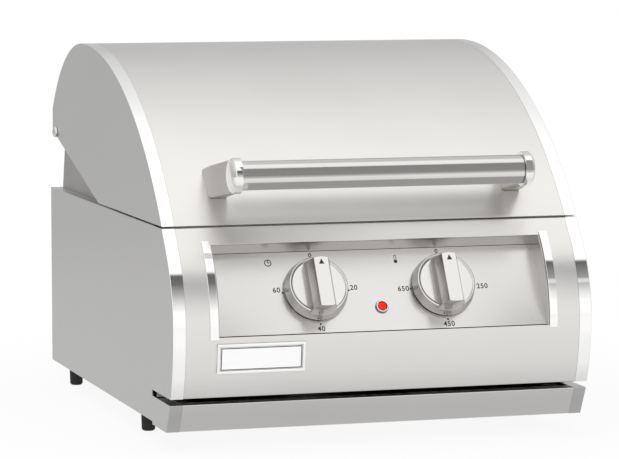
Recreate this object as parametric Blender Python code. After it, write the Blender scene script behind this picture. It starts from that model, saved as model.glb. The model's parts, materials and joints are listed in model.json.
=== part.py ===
"""Countertop electric grill with a hinged hood, two dials and a drip tray that slides out.

Lengths are in metres. The grill is drawn with X = 0 on its middle plane, Y = 0 at the front corner
of the seam under the hood and Z = 0 at the underside of the box, front towards -Y. At the end it is
set down with its feet on Z = 0 and the middle of its footprint on the origin.
"""

import math

import bmesh
import bpy
from mathutils import Matrix, Vector

# Sheet and clearances
SHEET = 0.0012
GAP = 0.0003
OVERRUN = 0.004
MERGE = 0.000003
ARC_STEP_DEG = 3.2

# Box
WIDTH = 0.400
BODY_HEIGHT = 0.1803
BODY_REAR = 0.4642
CHEEK_SEAM = 0.0372
BASE_FRONT = 0.024
BASE_FLANGE = 0.012

# Front: a flat below the seam, a round belly, and a slow tuck back to the lower edge
FRONT_FLAT = 0.0242
BELLY_RADIUS = 0.1185
TUCK_RADIUS = 0.168
FRONT_RETURN = 0.014
LEDGE_DEPTH = 0.078
BAND = 0.012

# Hood
HOOD_SEAM = 0.0019
HOOD_RISE = 0.1524
HOOD_RADIUS = 0.396
CROWN_FLAT = 0.0045
HOOD_REAR_INSET = 0.0097
REAR_ARC_RISE = 0.0798
REAR_EDGE_RISE = 0.0581
HOOD_CUT_LENGTH = 0.2063

# Hinge
PIVOT_INSET = 0.0297
PIVOT_RISE = 0.0592
PIVOT_RADIUS = 0.003
PIVOT_HEAD_RADIUS = 0.0055
PIVOT_HEAD = 0.0042
PIVOT_NUT_RADIUS = 0.005
PIVOT_NUT = 0.005
PIVOT_DOME_SHARES = ((0, 1), (0.6, 0.85), (1, 0.3))
BUSH_RADIUS = 0.007

# Control recess and what sits in it
RECESS_DROP = 0.0145
RECESS_SHARE = 0.5351
RECESS_SIDE = 0.0419
PLATE_TOP_Y = 0.0035
PLATE_TOP_DROP = 0.0237
BEZEL_WIDTH = 0.0077
BEZEL_OVER = 0.0025
BEZEL_UNDER = 0.002
DIAL_SPACING = 0.122
DIAL_UP_SHARE = 0.5037
LAMP_UP = 0.024

# Knobs
KNOB_RADIUS = 0.0298
KNOB_RIM_RADIUS = 0.0276
KNOB_FLOOR_RADIUS = 0.0246
KNOB_SKIRT = 0.0115
KNOB_FLOOR_DIP = 0.0012
KNOB_HEIGHT = 0.029
KNOB_STANDOFF = 0.003
GRIP_TOP_WIDTH = 0.0136
GRIP_FOOT_WIDTH = 0.021
GRIP_TAIL = 0.028
GRIP_NOSE = 0.0205
GRIP_NOSE_FOOT = 0.0255
SHAFT_RADIUS = 0.003
SHAFT_IN_KNOB = 0.016
SHAFT_IN_CASE = 0.010

# Lamp
LENS_RADIUS = 0.0045
LENS_PROUD = 0.0035
LAMP_RING_RADIUS = 0.00625
LAMP_RING_PROUD = 0.0022
LAMP_CASE_RADIUS = 0.0052
LAMP_CASE_LENGTH = 0.022

# Switchgear behind the panel
TIMER_CASE = 0.052
TIMER_DEPTH = 0.036
THERMOSTAT_CASE = 0.044
THERMOSTAT_DEPTH = 0.032
SENSOR_TUBE_RADIUS = 0.0012
SENSOR_BULB_RADIUS = 0.003
SENSOR_BULB_LENGTH = 0.080
SENSOR_BELOW_GRATE = 0.022
SENSOR_FRONT_ROOM = 0.020
SENSOR_BEND = 0.005

# Badge
BADGE_OUTSET = 0.0012
BADGE_WIDTH = 0.0825
BADGE_HEIGHT = 0.0275
BADGE_DROP = 0.0056
BADGE_RIM = 0.0028
BADGE_PROUD = 0.0024
BADGE_SINK = 0.0010

# Handle
HANDLE_RADIUS = 0.0127
HANDLE_INSET = 0.0672
HANDLE_Y = -0.0255
HANDLE_RISE = 0.0482
HANDLE_WALL = 0.0016
BOSS_RADIUS = 0.0175
BOSS_WIDTH = 0.0084
BOSS_CHAMFER = 0.0022
BOSS_DOME = 0.0022
BOSS_SPIGOT = 0.012
ARM_WIDTH = 0.0178
ARM_NECK_WIDTH = 0.0100
ARM_NECK_HEIGHT = 0.0330
ARM_HEIGHT = 0.0300
ARM_ROUND = 0.0045
ARM_DROP_DEG = 13.5
ARM_FLARE_SHARE = 0.55
DOME_SHARES = (1, 0.7, 0.35, 0)
HANDLE_SCREW_RADIUS = 0.003
HANDLE_SCREW_HEAD_RADIUS = 0.0055
HANDLE_SCREW_HEAD = 0.0035
HANDLE_SCREW_LENGTH = 0.016

# Drip tray
TRAY_TOP = 0.0236
TRAY_BOTTOM = -0.0028
TRAY_FRONT_TOP = -0.0280
TRAY_FRONT_BOTTOM = -0.0141
TRAY_LIP = 0.016
TRAY_UNDER_LIP = 0.034
TRAY_GAP = 0.0057
PAN_SIDE_ROOM = 0.0035
PAN_REAR_ROOM = 0.0442
PAN_FLOOR = 0.0032
PAN_RIM_DROP = 0.004
PAN_FLANGE = 0.010

# Tray runners
RUNNER_SIDE_ROOM = 0.0004
RUNNER_FRONT = 0.032
RUNNER_REAR_ROOM = 0.0242
RUNNER_SHELF = 0.013
RUNNER_FOOT = 0.0044

# Firebox
LINER_INSET = 0.0123
LINER_BOTTOM = 0.030
LINER_RISE = 0.0112
LINER_REAR_ROOM = 0.0232
LINER_REAR_RISE = 0.0257
EAR_RADIUS = 0.0135
EAR_FRONT_DEG = 150
EAR_LENGTH = 0.1642
EAR_REAR_INSET = 0.0146
VENT_TRAY_ROOM = 0.0006
VENT_TOP = 0.048
VENT_SLOTS = 8
VENT_PITCH = 0.0116
VENT_SLOT_WIDTH = 0.0062
VENT_SLOT_LOW = 0.0258
VENT_SLOT_HIGH = 0.040
VENT_SLANT = 0.005

# Grate
GRATE_SIDE_ROOM = 0.0082
GRATE_FRONT_ROOM = 0.0128
GRATE_REAR_ROOM = 0.013
GRATE_DROP = 0.0023
GRATE_BARS = 22
BAR_RADIUS = 0.003
CROSS_BAR_RADIUS = 0.004
CROSS_BAR_SINK = 0.002
CROSS_BAR_INSET = 0.012
RAIL_SHELF = 0.014
RAIL_HEIGHT = 0.012

# Heating element
ELEMENT_RADIUS = 0.004
ELEMENT_BELOW_GRATE = 0.046
ELEMENT_PASSES = 8
ELEMENT_SIDE_ROOM = 0.0362
ELEMENT_FRONT_ROOM = 0.037
ELEMENT_REAR_ROOM = 0.041
ELEMENT_TAIL = 0.012
ELEMENT_JOIN_RUN = 0.016
HOLDER_WIDTH = 0.014
HOLDER_FLANGE = 0.007
HOLDER_INSET = 0.060
TERMINAL_WALL = 0.004
TERMINAL_HEIGHT = 0.022

# Reflector pan under the element
REFLECTOR_BELOW_ELEMENT = 0.040
REFLECTOR_FALL = 0.022
REFLECTOR_SLOT_WIDTH = 0.030
REFLECTOR_SLOT_LENGTH = 0.200
REFLECTOR_HEM = 0.010

# Feet
FOOT_TOP_RADIUS = 0.007
FOOT_TIP_RADIUS = 0.0064
FOOT_DROP = 0.0207
FOOT_ROUND = 0.0015
FOOT_SIDE_INSET = 0.015
FOOT_FRONT_Y = 0.112
FOOT_REAR_INSET = 0.0462
FOOT_NECK_RADIUS = 0.003
FOOT_NUT_RADIUS = 0.005
FOOT_NUT = 0.0035

# Power inlet
INLET_SIDE = 0.070
INLET_Z = 0.060
INLET_WIDTH = 0.048
INLET_HEIGHT = 0.028
INLET_DEPTH = 0.020
INLET_FLANGE = 0.005
INLET_PROUD = 0.0025
INLET_WELL = 0.016
INLET_WALL = 0.006

# Rear panel
REAR_VENT_SLOTS = 12
REAR_VENT_PITCH = 0.018
REAR_VENT_WIDTH = 0.005
REAR_VENT_HEIGHT = 0.045
REAR_VENT_DROP = 0.0553

# Worked out from the sizes above
HALF = WIDTH / 2
SKIN_HALF = HALF - BAND - GAP / 2
LINER_HALF = HALF - LINER_INSET
BAND_EDGE = HALF - BAND + GAP / 2
SHELL_HALF = HALF - SHEET - GAP
FIREBOX_HALF = LINER_HALF - SHEET - GAP
CHEEK_REAR = CHEEK_SEAM - GAP / 2
WALL_FRONT = CHEEK_SEAM + GAP / 2

HOOD_BASE = BODY_HEIGHT + HOOD_SEAM
CROWN_HEIGHT = HOOD_BASE + HOOD_RISE
SEAM_ANGLE = math.degrees(math.asin((HOOD_RADIUS - HOOD_RISE) / HOOD_RADIUS))
CROWN_Y = HOOD_RADIUS * math.cos(math.radians(SEAM_ANGLE))
HOOD_REAR = BODY_REAR - HOOD_REAR_INSET
HOOD_REAR_EDGE = HOOD_BASE + REAR_EDGE_RISE
HOOD_CUT_START = HOOD_REAR - HOOD_CUT_LENGTH
PIVOT_Y = BODY_REAR - PIVOT_INSET
PIVOT_Z = BODY_HEIGHT + PIVOT_RISE
HANDLE_HALF = HALF - HANDLE_INSET
HANDLE_Z = BODY_HEIGHT + HANDLE_RISE

FRONT_LOWER_EDGE = TRAY_TOP + TRAY_GAP
RECESS_TOP = BODY_HEIGHT - RECESS_DROP
RECESS_BOTTOM = RECESS_TOP - RECESS_SHARE * (BODY_HEIGHT - FRONT_LOWER_EDGE)
RECESS_HALF = HALF - RECESS_SIDE
PLATE_TOP_Z = BODY_HEIGHT - PLATE_TOP_DROP
BADGE_Z = RECESS_BOTTOM - BADGE_DROP - BADGE_HEIGHT / 2
BADGE_X = -RECESS_HALF - BADGE_OUTSET + BADGE_WIDTH / 2

RUNNER_HALF = SHELL_HALF - SHEET - RUNNER_SIDE_ROOM - RUNNER_FOOT
RUNNER_REAR = BODY_REAR - RUNNER_REAR_ROOM
PAN_HALF = RUNNER_HALF - RUNNER_SHELF - PAN_SIDE_ROOM
PAN_REAR = BODY_REAR - PAN_REAR_ROOM
PAN_RIM = TRAY_TOP - PAN_RIM_DROP
FOOT_REAR_Y = BODY_REAR - FOOT_REAR_INSET
VENT_BOTTOM = TRAY_TOP + VENT_TRAY_ROOM
REAR_VENT_Z = BODY_HEIGHT - REAR_VENT_DROP
INLET_X = INLET_SIDE - HALF

LINER_RIM = BODY_HEIGHT + LINER_RISE
LINER_REAR = BODY_REAR - LINER_REAR_ROOM
LINER_REAR_RIM = BODY_HEIGHT + LINER_REAR_RISE
EAR_FRONT = BODY_REAR - EAR_LENGTH
EAR_REAR_EDGE = BODY_REAR - EAR_REAR_INSET
GRATE_TOP = BODY_HEIGHT - GRATE_DROP
GRATE_HALF = FIREBOX_HALF - GRATE_SIDE_ROOM
GRATE_FRONT = LEDGE_DEPTH + SHEET + GRATE_FRONT_ROOM
GRATE_REAR = LINER_REAR - GRATE_REAR_ROOM
ELEMENT_HEIGHT = GRATE_TOP - ELEMENT_BELOW_GRATE
ELEMENT_HALF = FIREBOX_HALF - ELEMENT_SIDE_ROOM
ELEMENT_FRONT = LEDGE_DEPTH + ELEMENT_FRONT_ROOM
ELEMENT_REAR = LINER_REAR - ELEMENT_REAR_ROOM
ELEMENT_PITCH = 2 * ELEMENT_HALF / (ELEMENT_PASSES - 1)
TERMINAL_WIDTH = ELEMENT_PITCH + 2 * (ELEMENT_RADIUS + TERMINAL_WALL)
REFLECTOR_EDGE = ELEMENT_HEIGHT - REFLECTOR_BELOW_ELEMENT

# Facets of the round pieces
ROUND_SIDES = 32
SMALL_SIDES = 16
ROD_SIDES = 8
CORNER_STEPS = 3
BEND_STEPS = 8


def finish_of(name, colour, roughness, metallic):
    material = bpy.data.materials.new(name)
    material.use_nodes = True
    shader = material.node_tree.nodes["Principled BSDF"]
    shader.inputs["Base Color"].default_value = (*colour, 1)
    shader.inputs["Roughness"].default_value = roughness
    shader.inputs["Metallic"].default_value = metallic
    return material


def add_object(name, bm, material, parent):
    mesh = bpy.data.meshes.new(name)
    bm.to_mesh(mesh)
    bm.free()
    obj = bpy.data.objects.new(name, mesh)
    mesh.materials.append(material)
    mesh.shade_smooth()
    mesh.set_sharp_from_angle(angle=math.radians(30))
    bpy.context.scene.collection.objects.link(obj)
    obj.parent = parent
    obj.location = -Vector(parent.get("drawn_at", (0, 0, 0)))
    return obj


def add_axis(name, place, parent, turn=None):
    """An empty on a joint's axis. Pieces that stand under it are still drawn in the grill's own frame."""
    empty = bpy.data.objects.new(name, None)
    bpy.context.scene.collection.objects.link(empty)
    empty.parent = parent
    empty.location = place
    if turn is None:
        empty["drawn_at"] = tuple(place)
    else:
        empty.matrix_local = Matrix.Translation(place) @ turn.to_4x4()
    return empty


def arc(centre, radius, start, end):
    """Points (y, z) on an arc. Angles are in degrees, from +Y towards +Z."""
    steps = max(2, math.ceil(abs(end - start) / ARC_STEP_DEG))
    angles = [math.radians(start + (end - start) * i / steps) for i in range(steps + 1)]
    return [(centre[0] + radius * math.cos(a), centre[1] + radius * math.sin(a)) for a in angles]


def offset(line, distance):
    """The (y, z) line moved sideways, towards the right of its own direction where distance is positive."""
    points = [Vector(p) for p in line]
    steps = [(b - a).normalized() for a, b in zip(points, points[1:])]
    sides = [Vector((s.y, -s.x)) for s in steps]
    moved = []
    for i, point in enumerate(points):
        before = sides[max(i - 1, 0)]
        after = sides[min(i, len(sides) - 1)]
        middle = (before + after).normalized()
        moved.append(tuple(point + middle * distance / middle.dot(after)))
    return moved


def thick(line, distance):
    """The closed outline of a strip that follows a line."""
    return list(line) + offset(line, distance)[::-1]


def at_height(line, z):
    """The point where a (y, z) line crosses a height."""
    for (y0, z0), (y1, z1) in zip(line, line[1:]):
        if min(z0, z1) <= z <= max(z0, z1) and z0 != z1:
            return (y0 + (y1 - y0) * (z - z0) / (z1 - z0), z)
    return line[-1]


def between(line, low, high):
    """The stretch of a falling line from one height down to another, ends included."""
    inner = [p for p in line if low < p[1] < high]
    return [at_height(line, high)] + inner + [at_height(line, low)]


def prism(outline, x_from, x_to):
    """A closed solid: a (y, z) outline drawn out along X."""
    bm = bmesh.new()
    near = [bm.verts.new((x_from, y, z)) for y, z in outline]
    far = [bm.verts.new((x_to, y, z)) for y, z in outline]
    bm.faces.new(near)
    bm.faces.new(far[::-1])
    count = len(outline)
    for i in range(count):
        j = (i + 1) % count
        bm.faces.new((near[j], near[i], far[i], far[j]))
    bmesh.ops.recalc_face_normals(bm, faces=bm.faces)
    return bm


def block(low, high):
    """A closed box between two corners."""
    outline = [(low[1], low[2]), (high[1], low[2]), (high[1], high[2]), (low[1], high[2])]
    return prism(outline, low[0], high[0])


def turned(profile, place=(0, 0, 0), axis=(0, 0, 1), sides=ROUND_SIDES):
    """A closed solid of revolution. The profile is (radius, height) pairs from one pole to the other."""
    bm = bmesh.new()
    rings = []
    for radius, height in profile:
        if radius == 0:
            rings.append([bm.verts.new((0, 0, height))])
            continue
        turns = [math.tau * i / sides for i in range(sides)]
        rings.append([bm.verts.new((radius * math.cos(t), radius * math.sin(t), height)) for t in turns])
    for ring, following in zip(rings, rings[1:]):
        for i in range(sides):
            j = (i + 1) % sides
            corners = [ring[i % len(ring)], ring[j % len(ring)]]
            corners += [following[j % len(following)], following[i % len(following)]]
            bm.faces.new(list(dict.fromkeys(corners)))
    bmesh.ops.recalc_face_normals(bm, faces=bm.faces)
    bm.transform(Matrix.Translation(place) @ Vector(axis).to_track_quat("Z", "Y").to_matrix().to_4x4())
    return bm


def rod(start, end, radius, sides=ROD_SIDES):
    start = Vector(start)
    along = Vector(end) - start
    profile = [(0, 0), (radius, 0), (radius, along.length), (0, along.length)]
    return turned(profile, start, along, sides)


def joined(parts):
    """Several bmeshes as one."""
    whole = bmesh.new()
    for part in parts:
        mesh = bpy.data.meshes.new("joining")
        part.to_mesh(mesh)
        part.free()
        whole.from_mesh(mesh)
        bpy.data.meshes.remove(mesh)
    return whole


def strip(line, x_from, x_to):
    """Faces of a band along a (y, z) line."""
    return [[(x_from, *a), (x_to, *a), (x_to, *b), (x_from, *b)] for a, b in zip(line, line[1:])]


def mirrored(faces):
    return [[(-x, y, z) for x, y, z in face] for face in faces]


def sheet(name, faces, inside, material, parent):
    """Folded sheet metal: the faces are its outer side, and its thickness goes towards a point inside."""
    bm = bmesh.new()
    for face in faces:
        bm.faces.new([bm.verts.new(point) for point in face])
    bmesh.ops.remove_doubles(bm, verts=bm.verts, dist=MERGE)
    bmesh.ops.recalc_face_normals(bm, faces=bm.faces)
    towards = sum(f.calc_area() * f.normal.dot(Vector(inside) - f.calc_center_median()) for f in bm.faces)
    if towards > 0:
        bmesh.ops.reverse_faces(bm, faces=bm.faces)
    obj = add_object(name, bm, material, parent)
    wall = obj.modifiers.new("wall", "SOLIDIFY")
    wall.thickness = SHEET
    wall.offset = -1
    wall.use_even_offset = True
    wall.use_quality_normals = True
    return obj


def boolean(obj, other_bm, operation):
    """Cuts away or joins on a helper solid, which is left out of renders."""
    helper = add_object(obj.name + "_" + operation.lower(), other_bm, obj.data.materials[0], obj.parent)
    helper.hide_render = True
    helper.display_type = "WIRE"
    helper.hide_set(True)
    modifier = obj.modifiers.new(operation.lower(), "BOOLEAN")
    modifier.operation = operation
    modifier.solver = "EXACT"
    modifier.object = helper


def cut(obj, *tools):
    for tool in tools:
        boolean(obj, tool, "DIFFERENCE")


def fuse(obj, *additions):
    for addition in additions:
        boolean(obj, addition, "UNION")


def front_line():
    """The front's outer side from the seam down to the lower edge."""
    slope = math.radians(SEAM_ANGLE)
    flat_end = Vector((0, BODY_HEIGHT)) - Vector((math.sin(slope), math.cos(slope))) * FRONT_FLAT
    belly_centre = flat_end + Vector((math.cos(slope), -math.sin(slope))) * BELLY_RADIUS
    belly = arc(belly_centre, BELLY_RADIUS, 180 - SEAM_ANGLE, 180)
    tuck_centre = (belly[-1][0] + TUCK_RADIUS, belly[-1][1])
    tuck_angle = math.degrees(math.asin((tuck_centre[1] - FRONT_LOWER_EDGE) / TUCK_RADIUS))
    return [(0, BODY_HEIGHT)] + belly + arc(tuck_centre, TUCK_RADIUS, 180, 180 + tuck_angle)[1:]


def hood_line():
    """The hood's outer side from the seam over the crown to the top of its rear edge."""
    front = arc((CROWN_Y, CROWN_HEIGHT - HOOD_RADIUS), HOOD_RADIUS, 180 - SEAM_ANGLE, 90)
    run = HOOD_REAR - CROWN_Y - CROWN_FLAT
    fall = HOOD_RISE - REAR_ARC_RISE
    radius = (run ** 2 + fall ** 2) / (2 * fall)
    end_angle = math.degrees(math.asin((radius - fall) / radius))
    return front + arc((CROWN_Y + CROWN_FLAT, CROWN_HEIGHT - radius), radius, 90, end_angle)


def plate_frame():
    """The sunk plate: its lower edge on the front's line, and its directions up the plate and out of it."""
    inner = offset(front_line(), -SHEET - GAP)
    foot = Vector((0, *at_height(inner, RECESS_BOTTOM)))
    up = (Vector((0, PLATE_TOP_Y, PLATE_TOP_Z)) - foot).normalized()
    out = Vector((1, 0, 0)).cross(up)
    return foot, up, out


def dial_up():
    """How far up the plate the dials' axes stand."""
    foot, up, out = plate_frame()
    return DIAL_UP_SHARE * up.dot(Vector((0, PLATE_TOP_Y, PLATE_TOP_Z)) - foot)


def on_plate(x, up_plate, proud=0.0):
    foot, up, out = plate_frame()
    return foot + Vector((x, 0, 0)) + up * up_plate + out * proud


def plate_turn():
    """Turns +Z to point out of the sunk plate, with +Y up the plate."""
    foot, up, out = plate_frame()
    return Matrix((up.cross(out), up, out)).transposed()


def in_plate_frame(bm, x, up_plate, proud=0.0):
    """Places a bmesh drawn on Z = 0 onto the sunk plate."""
    bm.transform(Matrix.Translation(on_plate(x, up_plate, proud)) @ plate_turn().to_4x4())
    return bm


def plate_hole(x, up_plate, radius):
    start = on_plate(x, up_plate, -SHEET - OVERRUN)
    return rod(start, on_plate(x, up_plate, OVERRUN), radius, SMALL_SIDES)


def make_body(root, steel, polished):
    """The side panels, the polished front ends before them, and the base pan between."""
    for side, name in ((-1, "left"), (1, "right")):
        wall = [(WALL_FRONT, 0), (BODY_REAR, 0), (BODY_REAR, BODY_HEIGHT), (WALL_FRONT, BODY_HEIGHT)]
        faces = [[(side * HALF, y, z) for y, z in wall]]
        top_edge = [(WALL_FRONT, BODY_HEIGHT), (BODY_REAR, BODY_HEIGHT)]
        faces += strip(top_edge, side * HALF, side * BAND_EDGE)
        sheet("side_panel_" + name, faces, (0, BODY_REAR / 2, 0), steel, root)

        cheek = front_line() + [(CHEEK_REAR, FRONT_LOWER_EDGE), (CHEEK_REAR, BODY_HEIGHT)]
        faces = [[(side * HALF, y, z) for y, z in cheek]]
        faces += strip([(CHEEK_REAR, BODY_HEIGHT)] + front_line(), side * HALF, side * BAND_EDGE)
        sheet("front_end_" + name, faces, (0, CHEEK_SEAM, BODY_HEIGHT / 2), polished, root)

    rear = BODY_REAR - SHEET
    faces = strip([(BASE_FRONT, 0), (rear, 0)], -SHELL_HALF, SHELL_HALF)
    flange_outline = ((BASE_FRONT, 0), (rear, 0), (rear, BASE_FLANGE), (BASE_FRONT, BASE_FLANGE))
    flange = [[(SHELL_HALF, y, z) for y, z in flange_outline]]
    faces += flange + mirrored(flange)
    base = sheet("base_pan", faces, (0, BODY_REAR / 2, BODY_HEIGHT), steel, root)
    for x, y in foot_places():
        cut(base, rod((x, y, -OVERRUN), (x, y, SHEET + OVERRUN), FOOT_NECK_RADIUS + GAP, SMALL_SIDES))


def make_rear_panel(root, steel):
    low = SHEET + GAP
    high = BODY_HEIGHT - SHEET - GAP
    faces = []
    columns = (-SHELL_HALF, -FIREBOX_HALF, FIREBOX_HALF, SHELL_HALF)
    for x_from, x_to in zip(columns, columns[1:]):
        faces += strip([(BODY_REAR, low), (BODY_REAR, high)], x_from, x_to)
    faces += strip([(BODY_REAR, high), (LINER_REAR + SHEET + GAP, high)], -FIREBOX_HALF, FIREBOX_HALF)
    panel = sheet("rear_panel", faces, (0, 0, 0), steel, root)

    inside = BODY_REAR - SHEET - OVERRUN
    outside = BODY_REAR + OVERRUN
    slots = []
    for i in range(REAR_VENT_SLOTS):
        x = (i - (REAR_VENT_SLOTS - 1) / 2) * REAR_VENT_PITCH
        low_corner = (x - REAR_VENT_WIDTH / 2, inside, REAR_VENT_Z - REAR_VENT_HEIGHT / 2)
        high_corner = (x + REAR_VENT_WIDTH / 2, outside, REAR_VENT_Z + REAR_VENT_HEIGHT / 2)
        slots.append(block(low_corner, high_corner))
    cut(panel, joined(slots))
    half_width = INLET_WIDTH / 2 + GAP
    half_height = INLET_HEIGHT / 2 + GAP
    hole_low = (INLET_X - half_width, inside, INLET_Z - half_height)
    hole_high = (INLET_X + half_width, outside, INLET_Z + half_height)
    cut(panel, block(hole_low, hole_high))


def make_power_inlet(root, plastic):
    face = BODY_REAR + GAP + INLET_PROUD
    body_low = (INLET_X - INLET_WIDTH / 2, BODY_REAR - INLET_DEPTH, INLET_Z - INLET_HEIGHT / 2)
    body_high = (INLET_X + INLET_WIDTH / 2, face, INLET_Z + INLET_HEIGHT / 2)
    low_rim = (body_low[0] - INLET_FLANGE, BODY_REAR + GAP, body_low[2] - INLET_FLANGE)
    high_rim = (body_high[0] + INLET_FLANGE, face, body_high[2] + INLET_FLANGE)
    inlet = add_object("power_inlet", block(body_low, body_high), plastic, root)
    fuse(inlet, block(low_rim, high_rim))
    well_low = (body_low[0] + INLET_WALL, face - INLET_WELL, body_low[2] + INLET_WALL)
    well_high = (body_high[0] - INLET_WALL, face + OVERRUN, body_high[2] - INLET_WALL)
    cut(inlet, block(well_low, well_high))


def make_front_panel(root, steel):
    line = front_line()
    opening_half = RECESS_HALF + SHEET + GAP
    ledge = [(LEDGE_DEPTH - GAP, BODY_HEIGHT)]
    hem = [(line[-1][0] + FRONT_RETURN, FRONT_LOWER_EDGE)]
    above = [p for p in line if p[1] > RECESS_TOP] + [at_height(line, RECESS_TOP)]
    beside = between(line, RECESS_BOTTOM, RECESS_TOP)
    below = [at_height(line, RECESS_BOTTOM)] + [p for p in line if p[1] < RECESS_BOTTOM]
    whole = ledge + above[:-1] + beside + below[1:] + hem
    faces = strip(whole, opening_half, SKIN_HALF)
    faces += mirrored(faces)
    faces += strip(ledge + above, -opening_half, opening_half)
    faces += strip(below + hem, -opening_half, opening_half)
    sheet("front_panel", faces, (0, LEDGE_DEPTH, BODY_HEIGHT / 2), steel, root)


def make_control_panel(root, steel, polished):
    inner = offset(front_line(), -SHEET - GAP)
    edge = between(inner, RECESS_BOTTOM, RECESS_TOP)
    top = (PLATE_TOP_Y, PLATE_TOP_Z)
    faces = strip([edge[0], top, edge[-1]], -RECESS_HALF, RECESS_HALF)
    cheek = [[(RECESS_HALF, y, z) for y, z in [top] + edge[::-1]]]
    faces += cheek + mirrored(cheek)
    panel = sheet("control_panel", faces, (0, LEDGE_DEPTH, PLATE_TOP_Z), steel, root)
    shaft_hole = SHAFT_RADIUS + GAP
    cut(panel, plate_hole(-DIAL_SPACING / 2, dial_up(), shaft_hole))
    cut(panel, plate_hole(DIAL_SPACING / 2, dial_up(), shaft_hole))
    cut(panel, plate_hole(0, LAMP_UP, LAMP_CASE_RADIUS + GAP))

    rail = offset(between(front_line(), RECESS_BOTTOM - BEZEL_UNDER, RECESS_TOP + BEZEL_OVER), GAP)
    for side, name in ((-1, "left"), (1, "right")):
        outline = thick(rail, SHEET)
        strip_bm = prism(outline, side * RECESS_HALF, side * (RECESS_HALF + BEZEL_WIDTH))
        add_object("bezel_" + name, strip_bm, polished, root)


def make_lamp(root, chrome, red, plastic):
    ring_hole = LENS_RADIUS + GAP
    ring_profile = [(ring_hole, GAP), (LAMP_RING_RADIUS, GAP), (LAMP_RING_RADIUS, LAMP_RING_PROUD / 2)]
    ring_profile += [(LENS_RADIUS + LAMP_RING_PROUD / 2, LAMP_RING_PROUD), (ring_hole, LAMP_RING_PROUD)]
    ring_profile.append(ring_profile[0])
    ring = turned(ring_profile, sides=ROUND_SIDES)
    bmesh.ops.remove_doubles(ring, verts=ring.verts, dist=MERGE)
    bmesh.ops.recalc_face_normals(ring, faces=ring.faces)
    add_object("lamp_ring", in_plate_frame(ring, 0, LAMP_UP), chrome, root)

    lens_profile = [(0, GAP), (LENS_RADIUS, GAP), (LENS_RADIUS, LAMP_RING_PROUD)]
    lens_profile += [(LENS_RADIUS / 2, LENS_PROUD - GAP), (0, LENS_PROUD)]
    add_object("lamp_lens", in_plate_frame(turned(lens_profile, sides=SMALL_SIDES), 0, LAMP_UP), red, root)

    case = rod((0, 0, -LAMP_CASE_LENGTH), (0, 0, 0), LAMP_CASE_RADIUS, SMALL_SIDES)
    add_object("lamp_case", in_plate_frame(case, 0, LAMP_UP), plastic, root)


def make_switchgear(root, plastic, zinc):
    back = -SHEET - GAP
    hole = SHAFT_RADIUS + GAP
    timer = ("timer_case", -1, TIMER_CASE, TIMER_DEPTH, plastic)
    thermostat = ("thermostat", 1, THERMOSTAT_CASE, THERMOSTAT_DEPTH, zinc)
    for name, side, width, depth, material in (timer, thermostat):
        box = block((-width / 2, -width / 2, back - depth), (width / 2, width / 2, back))
        x = side * DIAL_SPACING / 2
        case = add_object(name, in_plate_frame(box, x, dial_up()), material, root)
        start = on_plate(x, dial_up(), back - SHAFT_IN_CASE - GAP)
        cut(case, rod(start, on_plate(x, dial_up(), OVERRUN), hole, SMALL_SIDES))


def knob_grip():
    """The raised grip of a knob, on Z = 0 at the knob's foot: wide and long below, narrower on top."""
    foot = KNOB_SKIRT / 2
    tail_foot = KNOB_RADIUS - (KNOB_RADIUS - KNOB_RIM_RADIUS) * foot / KNOB_SKIRT - GAP
    at_foot = (foot, GRIP_FOOT_WIDTH / 2, -tail_foot, GRIP_NOSE_FOOT)
    at_top = (KNOB_HEIGHT, GRIP_TOP_WIDTH / 2, -GRIP_TAIL, GRIP_NOSE)
    bm = bmesh.new()
    rings = []
    for height, half, tail, nose in (at_foot, at_top):
        rings.append([bm.verts.new((x, y, height)) for x, y in grip_outline(half, tail, nose)])
    bm.faces.new(rings[0][::-1])
    bm.faces.new(rings[1])
    count = len(rings[0])
    for i in range(count):
        j = (i + 1) % count
        bm.faces.new((rings[0][i], rings[0][j], rings[1][j], rings[1][i]))
    bmesh.ops.recalc_face_normals(bm, faces=bm.faces)
    return bm


def grip_outline(half, tail, nose):
    """The grip seen from above: straight sides, and ends that follow circles round the knob's axis."""
    points = []
    for radius, direction in ((nose, 1), (-tail, -1)):
        reach = math.asin(half / radius)
        for i in range(2 * CORNER_STEPS + 1):
            turn = reach * (1 - i / CORNER_STEPS)
            points.append((direction * radius * math.sin(turn), direction * radius * math.cos(turn)))
    return points


def make_knob(root, name, side, chrome, zinc):
    x = side * DIAL_SPACING / 2
    axis = add_axis(name + "_axis", on_plate(x, dial_up(), KNOB_STANDOFF), root, plate_turn())
    floor = KNOB_SKIRT - KNOB_FLOOR_DIP
    skirt = [(0, 0), (KNOB_RADIUS, 0), (KNOB_RIM_RADIUS, KNOB_SKIRT)]
    skirt += [(KNOB_FLOOR_RADIUS, floor), (0, floor)]
    knob = add_object(name + "_knob", turned(skirt), chrome, axis)
    fuse(knob, knob_grip())
    bore = SHAFT_RADIUS + GAP
    cut(knob, rod((0, 0, -OVERRUN), (0, 0, SHAFT_IN_KNOB + GAP), bore, SMALL_SIDES))
    shaft_start = -KNOB_STANDOFF - SHEET - GAP - SHAFT_IN_CASE
    shaft = rod((0, 0, shaft_start), (0, 0, SHAFT_IN_KNOB), SHAFT_RADIUS, SMALL_SIDES)
    add_object(name + "_shaft", shaft, zinc, axis)


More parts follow.
